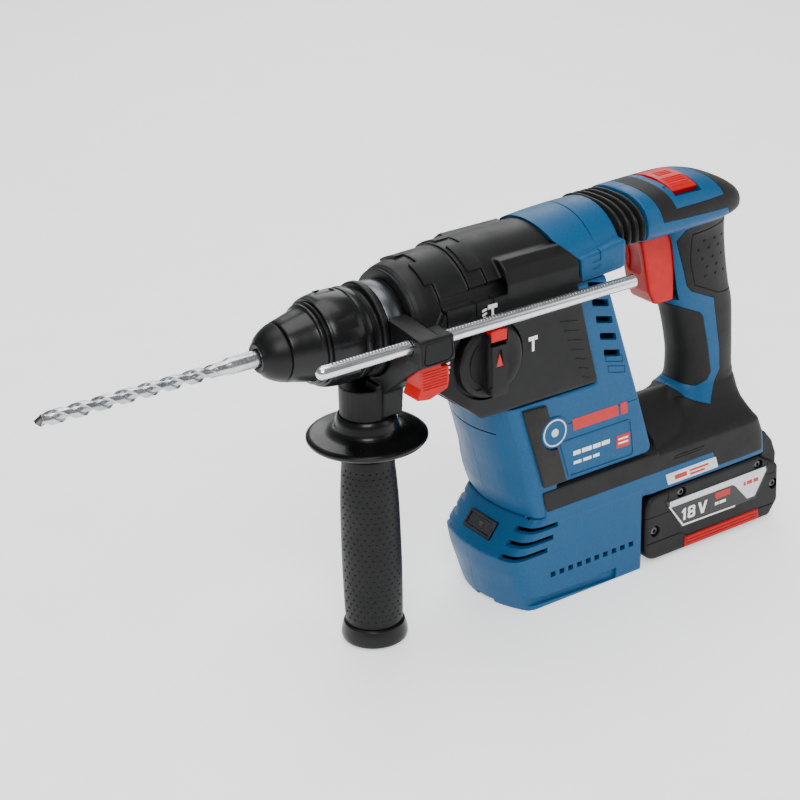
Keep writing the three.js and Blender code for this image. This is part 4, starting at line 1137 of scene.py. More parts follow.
    def trim_head(self, shell: Piece) -> None:
        """Cuts the shallow arrow marks beside the direction slide."""
        top = L.head_top
        arrow = [(77.5, -15), (79, -16.5), (79, -15.4), (82.5, -15.4), (82.5, -14.6), (79, -14.6),
                 (79, -13.5)]
        carve(shell, [prism("arrow", plan, [(x - 1, y) for x, y in arrow], top - 4.2, top + 2)])

    def build_pads(self, whole: Piece, pads: dict[str, list[Pair]], recesses: Sequence[Piece]) -> None:
        """Builds the soft mouldings.

        Args:
            whole: the frame's skin.
            pads: their outlines by name.
            recesses: what is cut out of the frame.
        """
        z = L.spindle_z
        soft = Finish.SOFT_ELASTOMER
        foot = carve(twin(whole, "soft_foot"), [self.region(pads["foot"])], "INTERSECT")
        carve(foot, [*recesses[:3], *recesses[4:5]], keep=True)
        carve(foot, [self.outline_groove(whole, [(72, 70.2), (96, 70.2), (98, 72.4), (74, 72.4)], 0.5, 0.4)])
        finished(foot, soft, "handle_frame", ["foot_overmould"])

        rear = carve(twin(whole, "soft_rear_grip"), [self.region(pads["rear"])], "INTERSECT")
        carve(rear, recesses[:1], keep=True)
        panel = [(126, z + 13.4), (97.4, z + 9.2), (98.3, z - 10), (103, z - 26.5), (124, z - 36.5),
                 (160, z - 41), (160, z + 13.4)]
        carve(rear, [self.outline_groove(whole, panel, 0.8, 0.55)])
        rows = [(x, height) for height, xs in (
            (z + 2.6, (107.5, 116.2, 124)), (z - 2.8, (103.6, 112, 120.4)),
            (z - 9.6, (107.4, 116, 124.6)), (z - 15.6, (111.6, 120.2)), (z - 21.6, (111, 119.6, 128)),
        ) for x in xs]
        carve(rear, [self.dimples(whole, rows, 1.25)])
        finished(rear, soft, "handle_frame", ["rear_grip_pad"])

        front_pad = carve(twin(whole, "soft_front_grip"), [self.region(pads["front"])], "INTERSECT")
        carve(front_pad, recesses[:1], keep=True)
        finished(front_pad, soft, "handle_frame", ["front_grip_pad"])

        head = carve(twin(whole, "soft_head"), [self.region(pads["head"])], "INTERSECT")
        carve(head, recesses[:1] + recesses[3:4], keep=True)
        finished(head, soft, "handle_frame", ["head_pad"])

    def build_fittings(self) -> None:
        """Builds the work light, and the silver plates with their red print."""
        bezel = self.light_block(5.8, 13, -3, 0.5)
        bezel.name = "work_light_bezel"
        carve(bezel, [self.light_block(4.2, 11.4, -1.6, 5)])
        soften(bezel, 0.3, 2)
        finished(bezel, Finish.SATIN_STEEL, "handle_frame", ["light_bezel"])
        lens = self.light_block(3.9, 11.1, -1.1, -0.3)
        lens.name = "work_light_lens"
        finished(soften(lens, 0.25, 2), Finish.SMOKED_LENS, "handle_frame", ["light_lens"])
        back = self.light_block(4.0, 11.2, -1.5, -1.2)
        finished(back, Finish.BLACK_FILM, "handle_frame")
        back.name = "work_light_reflector"
        chip = self.light_block(1.3, 1.6, -1.25, -0.9)
        chip.name = "work_light_lamp"
        finished(chip, Finish.LED_CHIP, "handle_frame")
        for flank in (-1, 1):
            place = flank * (L.base_half + 0.1)
            low, high = sorted((place, place + flank * 0.5))
            plate = prism(f"silver_plate_{'left' if flank < 0 else 'right'}", side,
                          [(66, 61.2, 0.6), (108, 61.2, 0.6), (110.4, 53.4, 0.6), (68.4, 53.4, 0.6)],
                          low, high, 0.12)
            finished(plate, Finish.SILVER_FILM, "handle_frame")
            low, high = sorted((place + flank * 0.45, place + flank * 0.6))
            marks = [
                prism("mark", side, [(74, 55.6), (84, 55.6), (83.2, 58.8), (73.2, 58.8)], low, high),
                prism("mark", side, [(86, 57.6), (102, 57.6), (101.6, 59), (85.6, 59)], low, high),
                prism("mark", side, [(86.6, 55), (99, 55), (98.6, 56.4), (86.2, 56.4)], low, high),
            ]
            label = gathered(f"plate_print_{'left' if flank < 0 else 'right'}", marks)
            finished(label, Finish.RED_PRINT, "handle_frame")


@dataclass
class Switches:
    """The trigger and the direction slide."""

    guide_half: float = 11.6
    slide_r: float = 51.0

    def trigger(self) -> None:
        """Builds the trigger, its face hollowed for the finger."""
        z = L.spindle_z
        outline = [
            (64, z + 11, 3), (66.3, z + 2), (69.2, z - 13), (71.8, z - 26, 6), (76.5, z - 35.2, 5),
            (92, z - 35.2), (92, z + 11),
        ]
        piece = prism("trigger_key", side, outline, -self.guide_half, self.guide_half, 2.6)
        hollow = rod("hollow", "y", (45.4, 0, z - 9), 25.2, -6.8, 6.8, 96)
        soften(hollow, 1.0, 10)
        carve(piece, [hollow])
        soften(piece, 0.5, 3)
        finished(piece, Finish.RED_ABS, "trigger", ["trigger"])

    def slide(self) -> None:
        """Builds the direction slide, a ribbed arc through the head."""
        at = (0, 0, L.head_top + 0.9 - self.slide_r)
        piece = arc_block("direction_slide", 80.2, 99.8, 47.2, self.slide_r + 0.2, 67, 106, at)
        ribs = []
        for degrees in (71.5, 74, 76.5, 79, 81.5):
            ribs.append(arc_block("rib", 82.5, 97.5, self.slide_r - 0.4, self.slide_r + 0.75,
                                  degrees - 0.6, degrees + 0.6, at, 3))
        for degrees in (88.4, 91, 93.6):
            ribs.append(arc_block("rib", 84.5, 95.5, self.slide_r - 0.4, self.slide_r + 0.6,
                                  degrees - 0.5, degrees + 0.5, at, 3))
        carve(piece, ribs, "UNION")
        finished(soften(piece, 0.4, 1), Finish.RED_ABS, "reversing_slide", ["reversing_slide"])

    def build(self) -> None:
        """Builds both."""
        self.trigger()
        self.slide()


# ---- Hammer unit -----------------------------------------------------------------------------


@dataclass
class HammerUnit:
    """Charcoal gear housing, blue motor housing halves, rear cover and bellows."""

    body: str = "hammer_unit"
    seam_y: float = 1.8
    pleats: int = 4

    def motor_outline(self, lower: float = 0.0) -> list[tuple[float, ...]]:
        """The motor housing seen from the side.

        Args:
            lower: how much longer its foot is.

        Returns:
            The outline.
        """
        z = L.spindle_z
        return [
            (-42, 61.35 - lower), (-47, 76, 8), (-51, 92), (-64.3, L.floor_z - 0.35), (9.7, L.floor_z - 0.35),
            (3.35, z - 36.2), (-4.55, z - 2.7), (-6.85, z + 7.2), (16.3, z + 7.2, 2), (43.8, 120),
            (51.7, 94), (55.6, 80.4, 5), (-32, 80.4), (-29.1, 61.35 - lower),
        ]

    def motor_housing(self) -> None:
        """Builds the motor housing halves with their louvres and label frame."""
        half = L.motor_half
        nose = loft("nose", [self.nose_ring(*row) for row in (
            (61.35, -42.2, -36.5), (68, -45.2, -39), (76, -48, -41.5), (84, -49.6, -43),
            (92, -51.4, -44), (108, -56, -48), (L.floor_z - 0.35, -64.6, -57))])
        trunk = prism("trunk", side, self.motor_outline()[4:13] + [(-38, 80.4), (-50, L.floor_z - 0.35)],
                      -half, half, 2.2)
        whole = gathered("motor_form", [nose, trunk])
        soften(whole, 0.8, 4)
        frame_line = [(-11, 83), (38, 82.6), (40.4, 84.6), (37.6, 106.6), (35, 108.4), (-18.4, 108.4)]
        rib = prism("rib", side, frame_line, -half - 0.55, half + 0.55, 0.3)
        carve(rib, [prism("hole", side, shrunk(frame_line, 1.0), -half - 2, half + 2)])
        carve(whole, [rib], "UNION")
        tools = []
        slope = math.tan(L.lean)
        for i in range(5):
            height = L.spindle_z + 1.5 - 11.5 * i
            x = 3.2 + (L.spindle_z + 1 - height) * slope
            tools.append(self.louvre(x, height, 12.4, 4.6))
        for height in (151.2, 143.6):
            x = 3.2 + (L.spindle_z + 1 - height) * slope
            tools.append(self.blind_outline(x, height, 13.5, 5.0))
        room = prism("room", side, [
            (-39, 60), (-44, 76), (-60.5, L.floor_z - 4), (5, L.floor_z - 4), (-1, L.spindle_z - 3),
            (-1, L.spindle_z + 4), (13, L.spindle_z + 4), (40, 120), (51, L.sill_z + 5),
            (-33, L.sill_z + 5), (-31, 60)], 3 - half, half - 3)
        inner_nose = loft("inner_nose", [self.nose_ring(*row, 3.0) for row in (
            (58, -41.4, -36), (76, -48, -41.5), (92, -51.4, -44), (108, -56, -48), (142, -65, -58))])
        carve(room, [inner_nose], "INTERSECT")
        rest = prism("rest", side, [(-20, 83.8), (51, 83.8), (40, 120), (13, L.spindle_z + 4),
                                    (-1, L.spindle_z + 4), (-1, L.spindle_z - 3), (5, L.floor_z - 4),
                                    (-20, L.floor_z - 4)], 3 - half, half - 3)
        door = block("door", (-26, -14, L.floor_z - 8), (-2, 14, L.floor_z + 2))
        carve(whole, [room, rest, door, *tools])
        crease = [(-12, 119.2), (44, 120.6), (44, 119.9), (-12, 118.5)]
        carve(whole, [prism("crease", side, crease, -half - 3, 0.35 - half),
                      prism("crease", side, crease, half - 0.35, half + 3)])
        self.motor_front(whole)
        for name, low, high, node in (
            ("motor_housing_shell_left", -60, self.seam_y - 0.2, "motor_housing_left"),
            ("motor_housing_shell_right", self.seam_y + 0.05, 60, "motor_housing_right"),
        ):
            piece = twin(whole, name)
            carve(piece, [block("half", (-90, low, 30), (90, high, 230))], "INTERSECT")
            finished(piece, Finish.BLUE_NYLON, self.body, [node])
        discard([whole])

    def nose_ring(self, z: float, tip: float, corner: float, inset: float = 0.0) -> list[Vector]:
        """A level ring of the motor housing's rounded front, inset from its skin."""
        half = L.motor_half - inset
        tip, corner = tip + inset, corner + inset
        flat = half - 6.5
        points = [(-20, half), (corner + 9, half), (corner + 4.5, half - 0.6), (corner + 1.4, half - 2.8)]
        for i in range(13):
            share = 1 - i / 6
            points.append((tip + (corner - tip) * share * share, share * flat))
        points += [(corner + 1.4, 2.8 - half), (corner + 4.5, 0.6 - half), (corner + 9, -half), (-20, -half)]
        return [Vector((x, y, z)) for x, y in points]

    def motor_front(self, whole: Piece) -> None:
        """Cuts the shallow panel lines of the front face."""
        line = [(-60, 118.8), (-50, 118.8), (-50, 119.6), (-60, 119.6)]
        carve(whole, [prism("line", side, line, -22, 22)])

    def louvre(self, x: float, z: float, width: float, height: float) -> Piece:
        """A slanting air slot through both flanks."""
        rise = math.tan(math.radians(14)) * width
        corners = [(x, z, 0.8), (x + width, z - rise, 0.8), (x + width - 0.8, z - rise + height, 0.8),
                   (x - 0.8, z + height, 0.8)]
        made = prism("louvre", side, corners, -L.motor_half - 2, L.motor_half + 2)
        core = block("core", (x - 4, 3.0 - L.motor_half, z - 8), (x + width + 4, L.motor_half - 3.0, z + 9))
        return carve(made, [core])

    def blind_outline(self, x: float, z: float, width: float, height: float) -> Piece:
        """The groove of an air slot that is moulded shut."""
        rise = math.tan(math.radians(14)) * width
        corners = [(x, z), (x + width, z - rise), (x + width - 0.8, z - rise + height), (x - 0.8, z + height)]
        half = L.motor_half
        made = prism("blind", side, corners, -half - 2, half + 2)
        inner = prism("inner", side, shrunk(corners, 0.6), -half - 3, half + 3)
        core = block("core", (x - 4, 0.45 - half, z - 8), (x + width + 4, half - 0.45, z + 9))
        return carve(made, [inner, core])

    def strips(self) -> None:
        """Builds the warm grey side strips, badge and lettering bars."""
        half = L.motor_half
        outline = [(-46.4, 136.8, 1), (-28.8, 135.8, 1), (-13.5, 82.3, 1), (-30.6, 82.3, 1)]
        for flank, word, number in ((-1, "left", "side_strip_left"), (1, "right", "side_strip_right")):
            low, high = sorted((flank * (half - 0.6), flank * (half + 1.9)))
            strip = prism(f"soft_strip_{word}", side, outline, low, high, 0.7)
            badge_x, badge_z = -22.4, 116.4
            carve(strip, [rod("notch", "y", (badge_x, 0, badge_z), 10.9, low - 2, high + 2, 64)])
            finished(strip, Finish.WARM_ELASTOMER, self.body, [number])
            self.badge(flank, word, (badge_x, badge_z), half)
            self.prints(flank, word, half)

    def badge(self, flank: int, word: str, at: Pair, half: float) -> None:
        """Builds the round badge: a disc with a plain silver ring and dot."""
        low, high = sorted((flank * (half - 0.4), flank * (half + 1.0)))
        disc = rod("disc", "y", (at[0], 0, at[1]), 9.9, low, high, 72)
        disc.name = f"badge_disc_{word}"
        finished(disc, Finish.BLUE_NYLON, self.body)
        low, high = sorted((flank * (half + 0.6), flank * (half + 1.25)))
        place = (at[0], 0, at[1])
        ring = turned(f"badge_ring_{word}", "y", place,
                      [(8.7, low), (8.7, high), (7.8, high), (7.8, low)], 72)
        finished(ring, Finish.SILVER_FILM, self.body)
        dot = rod(f"badge_dot_{word}", "y", place, 2.6, low, high, 48)
        finished(dot, Finish.SILVER_FILM, self.body)

    def prints(self, flank: int, word: str, half: float) -> None:
        """Prints generic bars where the maker's words stand."""
        low, high = sorted((flank * (half - 0.2), flank * (half + 0.22)))
        bars = [
            prism("bar", side, [(-7.6, 113.2), (27.4, 113.2), (26.4, 120.8), (-8.6, 120.8)], low, high),
            prism("bar", side, [(29.4, 113.2), (34.6, 113.2), (33.6, 120.8), (28.4, 120.8)], low, high),
        ]
        name = gathered(f"name_bars_{word}", bars)
        finished(name, Finish.RED_PRINT, self.body)
        words = []
        for x0, x1 in ((-7.6, -2.0), (-0.9, 6.5), (7.6, 13.4), (14.4, 20.6)):
            words.append(prism("word", side, [(x0, 96.6), (x1, 96.6), (x1, 99.4), (x0, 99.4)], low, high))
        for x0, x1 in ((-7.2, -1.4), (0, 6.4), (7.8, 12.6)):
            words.append(prism("word", side, [(x0, 90.6), (x1, 90.6), (x1, 92.6), (x0, 92.6)], low, high))
        finished(gathered(f"white_print_{word}", words), Finish.WHITE_PRINT, self.body)
        chip = prism(f"red_chip_{word}", side, [(26, 91), (36.6, 91), (36.6, 99.6), (26, 99.6)], low, high)
        finished(chip, Finish.RED_PRINT, self.body)
        low, high = sorted((flank * (half + 0.18), flank * (half + 0.3)))
        lines = [block("line", (27.4, low, z), (35.2, high, z + 1.1)) for z in (96.4, 93.6)]
        finished(gathered(f"chip_print_{word}", lines), Finish.WHITE_PRINT, self.body)

    def barrel(self) -> Piece:
        """The stepped barrel with its lip rings and neck."""
        r = L.barrel_r
        profile = [
            (0, -141), (23.8, -141), (23.8, -133.6), (26.6, -133.6), (27.4, -132.8), (27.4, -129.8),
            (26.9, -129.2), (24.6, -129.2),
            (24.6, -116.4), (29.2, -116.4), (30.3, -115.9), (30.3, -115.2), (29.8, -114.9), (30.0, -114.4),
            (31.2, -114.2), (31.5, -113.6), (31.3, -113.0), (32.2, -112.6), (32.8, -110.2), (33.6, -107),
            (34.1, -103), (34.4, -99), (35.1, -98.5), (35.5, -98.0), (35.8, -88), (36, -79.4), (36.4, -79.0),
            (37.1, -78.4), (37.4, -67.4), (37.8, -66.9), (38.3, -66.4), (r, -60), (r, 0), (0, 0),
        ]
        return turned("barrel", "x", L.spindle, profile, ROUND_STEPS)

    def gear_housing(self) -> None:
        """Builds the charcoal gear housing."""
        z = L.spindle_z
        outline = [
            (-112, z - 27, 6), (-98, z - 40, 10), (-76, z - 58.7, 6), (18, L.floor_z + 0.35), (18, z + 12),
            (-60, z + 12), (-112, z),
        ]
        body = prism("body", side, outline, -L.unit_half, L.unit_half, 2.6)
        half = L.unit_half
        carve(body, [prism("plan", plan, [
            (-116, -25, 2), (-100, -32, 8), (-84, -half, 8), (19, -half), (19, half), (-84, half, 8),
            (-100, 32, 8), (-116, 25, 2)], L.floor_z - 5, z + 60)], "INTERSECT")
        whole = gathered("gear_housing_shell", [body, self.barrel()])
        tunnels = []
        for flank in (-1, 1):
            section = [(20, z + 5), (36.6, z + 5), (half, z + 7.5), (half, z + 19), (34.8, z + 27),
                       (29.6, z + 31), (20, z + 31)]
            tunnels.append(prism("tunnel", front, [(flank * y, h) for y, h in section], -57, -5.5, 0.6))
            ledge = [(-106, z + 2), (-57, z + 2), (-57, z + 14), (-97, z + 14)]
            low, high = sorted((flank * 22, flank * (half - 0.6)))
            tunnels.append(prism("ledge", side, ledge, low, high, 0.6))
        carve(whole, tunnels, "UNION")
        soften(whole, 0.75, 3)
        self.trim_gear(whole)
        finished(whole, Finish.CHARCOAL_NYLON, self.body, ["gear_housing"])

    def trim_gear(self, whole: Piece) -> None:
        """Cuts the bore, the knob's pocket, the cover's seat and the panel lines, and adds the ribs.

        Args:
            whole: the softened housing.
        """
        z = L.spindle_z
        half = L.unit_half
        cuts = [
            turned("bore", "x", L.spindle, [(0, -143), (20.5, -143), (20.5, -112), (30.5, -100), (32, -60),
                                            (32, 20), (0, 20)], 96),
            block("room", (-92, -29, L.floor_z + 5), (20, 29, z)),
            rod("door", "z", (-14, 0, 0), 17, L.floor_z - 5, L.floor_z + 12),
            rod("knob_stem", "y", (-71, 0, z - 22.5), 6.5, -half - 2, 14 - half),
            rod("spindle_end", "x", (0, 0, L.spindle_z), 4.6, -60, -14),
            rod("shaft_end", "x", (0, 0, z - 38), 5.4, -98, -90),
        ]
        cuts.append(prism("seat", side, [
            (-3.6, z + 7.6), (-3.6, z + 20.4), (-15.2, z + 31.8), (-22, z + 60), (70, z + 60),
            (70, z + 7.6)], -60, 60))
        cuts.append(prism("rear", side, [
            (9.7, L.floor_z - 2), (3.35, z - 36.2), (-4.55, z - 2.7), (-6.85, z + 7.4), (-3.6, z + 7.7),
            (70, z + 7.7), (70, L.floor_z - 2)], -60, 60))
        cuts.append(rod("knob_pocket", "y", (-71, 0, z - 22.5), 24.2, -60, 3.4 - half, 96))
        cuts.append(block("mode_pocket", (-77, -60, z - 10.6), (-64, -35.6, z + 1)))
        for flank in (-1, 1):
            cuts.append(rod("mouth", "x", (0, flank * 33, z + 17.6), 4.2, -58, -24, 48))
            cuts.append(rod("channel", "x", (0, flank * 35.0, z + 18.0), 5.0, -114, -57, 64))
        for x in (-98.8, -78.7, -66.7):
            cuts.append(self.arc_line(x))
        carve(whole, cuts)
        adds = [turned("lip", "x", L.spindle, [
            (28, x), (r, x), (r + 0.5, x + 0.35), (r + 0.5, x + 1.0), (r, x + 1.35),
            (28, x + 1.35)], ROUND_STEPS)
            for x, r in ((-116.3, 30.2), (-114.2, 30.9))]
        for start, end, first, last in ((-104, -86, 48, 76), (-76, -62, 48, 82), (-104, -86, 98, 126),
                                        (-76, -62, 98, 132)):
            adds.append(arc_block("panel", start, end, 30, (35.5 if start < -90 else 38.2), first, last,
                                  L.spindle, 18))
        carve(whole, adds, "UNION")
        adds = []
        for i in range(7):
            share = i / 6
            x0, x1 = -19 + 16.8 * share, -6.4 + 9.5 * share
            height = z - 13.5 - 39 * share
            adds.append(prism("rib", side, [(x0, height), (x1, height - 2.4), (x1, height - 1.5),
                                            (x0, height + 0.9)], -half - 0.35, 1 - half))
            adds.append(prism("rib", side, [(x0, height), (x1, height - 2.4), (x1, height - 1.5),
                                            (x0, height + 0.9)], half - 1, half + 0.35))
        carve(whole, adds, "UNION")

    def arc_line(self, x: float) -> Piece:
        """A fine groove round the barrel."""
        outer, inner, half_width = 40.0, (35.0 if x > -90 else 33.8), 0.35
        return turned("line", "x", L.spindle, [
            (outer, x - half_width), (outer, x + half_width), (inner, x + half_width),
            (inner, x - half_width)], ROUND_STEPS)

    def rear_cover(self) -> None:
        """Builds the blue cover behind the gear housing."""
        z = L.spindle_z
        rings = []
        for x, half, top in blended([(-24, 38.5, 238), (-8, 38.2, 240.2), (8, 37.5, 241.5), (20, 36.4, 242),
                                     (30, 35, 242.1)], 4):
            rings.append(upright_ring(x, half, top, z + 7.6, z + 8, 2.05))
        cover = loft("cover", rings)
        tail = [upright_ring(x, 35.0, 242.1, z + 7.6, z + 8, 2.05) for x in (28, 30.2)]
        ledge = prism("ledge", side, [(-3.2, z + 8), (-3.2, z + 22), (30, z + 26.5), (30, z + 9.5)],
                      -37.4, 37.4, 1.2)
        whole = gathered("rear_cover_shell", [cover, loft("tail", tail), ledge])
        soften(whole, 0.8, 3)
        zone = prism("zone", side, [
            (-3.2, z + 7.9), (-3.2, z + 20.6), (-14.8, z + 32), (-21.5, z + 60), (30.3, z + 60),
            (30.3, z + 7.9)], -60, 60)
        carve(whole, [zone], "INTERSECT")
        carve(whole, [arc_block("panel", 13.6, 26, 30, 41.8, 55, 76, (0, 0, z), 16),
                      arc_block("panel", 13.6, 26, 30, 41.8, 104, 125, (0, 0, z), 16)], "UNION")
        line = [turned("line", "x", (0, 0, z), [
            (60, 10.2), (60, 10.9), (41.2, 10.9), (41.2, 10.2)], ROUND_STEPS)]
        carve(whole, line)
        for i in range(3):
            x0, x1 = 4, 9.4
            height = z + 13.5 + 4.2 * i
            carve(whole, [prism("mark", side, [(x0, height), (x1, height), (x1 + 2, height + 1.6),
                                               (x0 + 2, height + 1.6)], -40, -37.0)])
        finished(whole, Finish.BLUE_NYLON, self.body, ["rear_cover"])

    def bellows(self) -> None:
        """Builds the pleated boot between the hammer and the handle."""
        start, end = 30.35, 53.2
        top, bottom, middle = L.head_top, L.head_bottom, L.spindle_z + 23
        rings = []
        steps = self.pleats * 12
        for i in range(steps + 1):
            share = i / steps
            phase = math.cos(2 * math.pi * share * self.pleats)
            swell = 0.5 - 0.5 * phase
            swell = swell**0.6
            rings.append(upright_ring(
                start + (end - start) * share, 27.2 + 3.6 * swell, top - 5.2 + 3.6 * swell,
                bottom + 3.6 - 2.6 * swell, middle, 2.5))
        piece = loft("pleated_boot", rings)
        piece.data.materials.clear()
        piece.data.materials.append(Finish.BOOT_RUBBER.material())
        piece.data.shade_smooth()
        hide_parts("bellows")
        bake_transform(piece)
        log.info("%s: pleated, in %s", piece.name, Finish.BOOT_RUBBER.value.name)

    def build(self) -> None:
        """Builds the whole unit."""
        self.gear_housing()
        self.motor_housing()
        self.strips()
        self.rear_cover()
        self.bellows()


# ---- Chuck and bit ---------------------------------------------------------------------------


@dataclass
class Chuck:
    """The dust cap and the ribbed sleeve that slides back to free the bit."""

    nose_x: float = -200.0
    rear_x: float = -138.6

    def dust_cap(self) -> None:
        """Builds the domed rubber nose."""
        n = self.nose_x
        profile = [
            (5.3, n + 0.6), (6.2, n + 0.1), (7.9, n), (8.5, n + 0.4), (8.9, n + 1.4), (10.3, n + 2.4),
            (12.2, n + 4.2), (13.9, n + 6.6), (15.3, n + 9.2), (16.3, n + 11.6), (16.6, n + 12.4),
            (16.3, n + 13.3), (10.9, n + 13.3), (10.9, n + 11.5), (5.3, n + 11.5),
        ]
        piece = turned("dust_cap_rubber", "x", L.spindle, profile, ROUND_STEPS)
        finished(piece, Finish.BOOT_RUBBER, "spindle", ["dust_cap"])

    def sleeve(self) -> None:
        """Builds the sleeve with its three ridges, finger scallops and arrow."""
        n, r = self.nose_x, self.rear_x
        profile = [
            (14.5, n + 13.9), (16.4, n + 13.9), (17.1, n + 14.4), (17.4, n + 15.2), (18.3, n + 19),
            (19.3, n + 23), (20.2, n + 26.4), (20.9, n + 29.4), (21.2, n + 30.2), (22.3, n + 30.5),
            (22.7, n + 31.0), (22.7, n + 32.0), (21.9, n + 32.4), (21.9, n + 32.9), (23.5, n + 33.1),
            (23.9, n + 33.5), (23.9, n + 34.1), (23.2, n + 34.5), (23.2, n + 35.0), (24.9, n + 35.2),
            (25.3, n + 35.7), (25.3, n + 36.4), (25.8, n + 37.2), (26.4, n + 40.4), (26.8, n + 43.4),
            (26.95, n + 46), (26.95, n + 53.4), (26.7, n + 54.4), (26.0, n + 54.8), (25.9, n + 55.8),
            (26.5, n + 56.2), (26.7, n + 57), (26.7, r - 1.4), (26.3, r - 0.5), (25.6, r),
            (24.4, r), (24.4, n + 53), (19.5, n + 46), (14.5, n + 31),
        ]
        piece = turned("chuck_sleeve_shell", "x", L.spindle, profile, 144)
        tools = []
        for i in range(6):
            angle = math.radians(60 * i + 22)
            y, z = 49.4 * math.cos(angle), L.spindle_z + 49.4 * math.sin(angle)
            tools.append(rod("scallop", "x", (0, y, z), 23.2, n + 40.5, n + 52.5, 96))
        carve(piece, tools)
        finished(piece, Finish.BLACK_NYLON, "chuck_sleeve", ["chuck_sleeve"], 40)
        marks = []
        for turn in (0, 120, 240):
            arrow = prism("arrow", side, [(n + 43.5, -1.6), (n + 43.5, 1.6), (n + 47.2, 0)], -27.4, -25.2)
            spin = Matrix.Rotation(math.radians(turn + 12), 4, "X")
            arrow.data.transform(Matrix.Translation(Vector(L.spindle) * MM) @ spin)
            marks.append(arrow)
        finished(gathered("chuck_arrows", marks), Finish.BLACK_NYLON, "chuck_sleeve")

    def build(self) -> None:
        """Builds both."""
        self.dust_cap()
        self.sleeve()


@dataclass
class DrillBit:
    """A two-flute masonry bit with a brazed carbide tip."""

    tip_x: float = -331.4
    flute_rear: float = -225.0
    radius: float = 4.0
    lead: float = 27.0
    shank_r: float = 4.9

    def section(self, angle: float) -> float:
        """The radius of the fluted section at an angle from its first land."""
        wave = abs(math.cos(angle))
        land = min(1.0, max(0.0, (wave - 0.62) / 0.16))
        land = land * land * (3 - 2 * land)
        return 2.05 + (self.radius - 2.05) * (0.16 * wave + 0.84 * land)

    def fluted(self) -> Piece:
        """The twisted front."""
        rings = []
        steps, count = 220, 40
        start, end = self.tip_x + 3.4, self.flute_rear
        for i in range(steps + 1):
            share = i / steps
            x = start + (end - start) * share
            fade = min(1.0, (1 - share) * 12)
            twist = 2 * math.pi * x / self.lead
            ring = []
            for j in range(count):
                angle = 2 * math.pi * j / count
                radius = self.section(angle) * fade + 3.7 * (1 - fade)
                ring.append(Vector((x, radius * math.cos(angle + twist),
                                    L.spindle_z + radius * math.sin(angle + twist))))
            rings.append(ring)
        return loft("flutes", rings)

    def build(self) -> None:
        """Builds the steel and the tip."""
        f = self.flute_rear
        shank = turned("shank", "x", L.spindle, [
            (0, f - 0.6), (3.7, f - 0.6), (3.8, f + 3), (4.0, f + 5), (4.6, f + 7), (self.shank_r, f + 8.4),
            (self.shank_r, -143.2), (self.shank_r - 0.6, -142.6), (0, -142.6)], 64)
        tools = []
        for flank in (-1, 1):
            groove = rod("groove", "x", (0, flank * 5.6, L.spindle_z), 1.7, -176, -146, 24)
            tools.append(groove)
        carve(shank, tools)
        bit = gathered("drill_bit_steel", [self.fluted(), shank])
        finished(bit, Finish.BIT_STEEL, "drill_bit", ["drill_bit"], 50)
        t, z = self.tip_x, L.spindle_z
        plate = prism("carbide_plate", side, [
            (t, z), (t + 3.3, z + 4.05), (t + 5.2, z + 4.05), (t + 6.4, z + 2.6), (t + 6.4, z - 2.6),
            (t + 5.2, z - 4.05), (t + 3.3, z - 4.05)], -1.05, 1.05, 0.2)
        turn = Matrix.Translation(Vector(L.spindle) * MM) @ Matrix.Rotation(math.radians(32), 4, "X")
        plate.data.transform(turn @ Matrix.Translation(-Vector(L.spindle) * MM))
        finished(plate, Finish.CARBIDE, "drill_bit", ["carbide_tip"])


# ---- Side handle -----------------------------------------------------------------------------


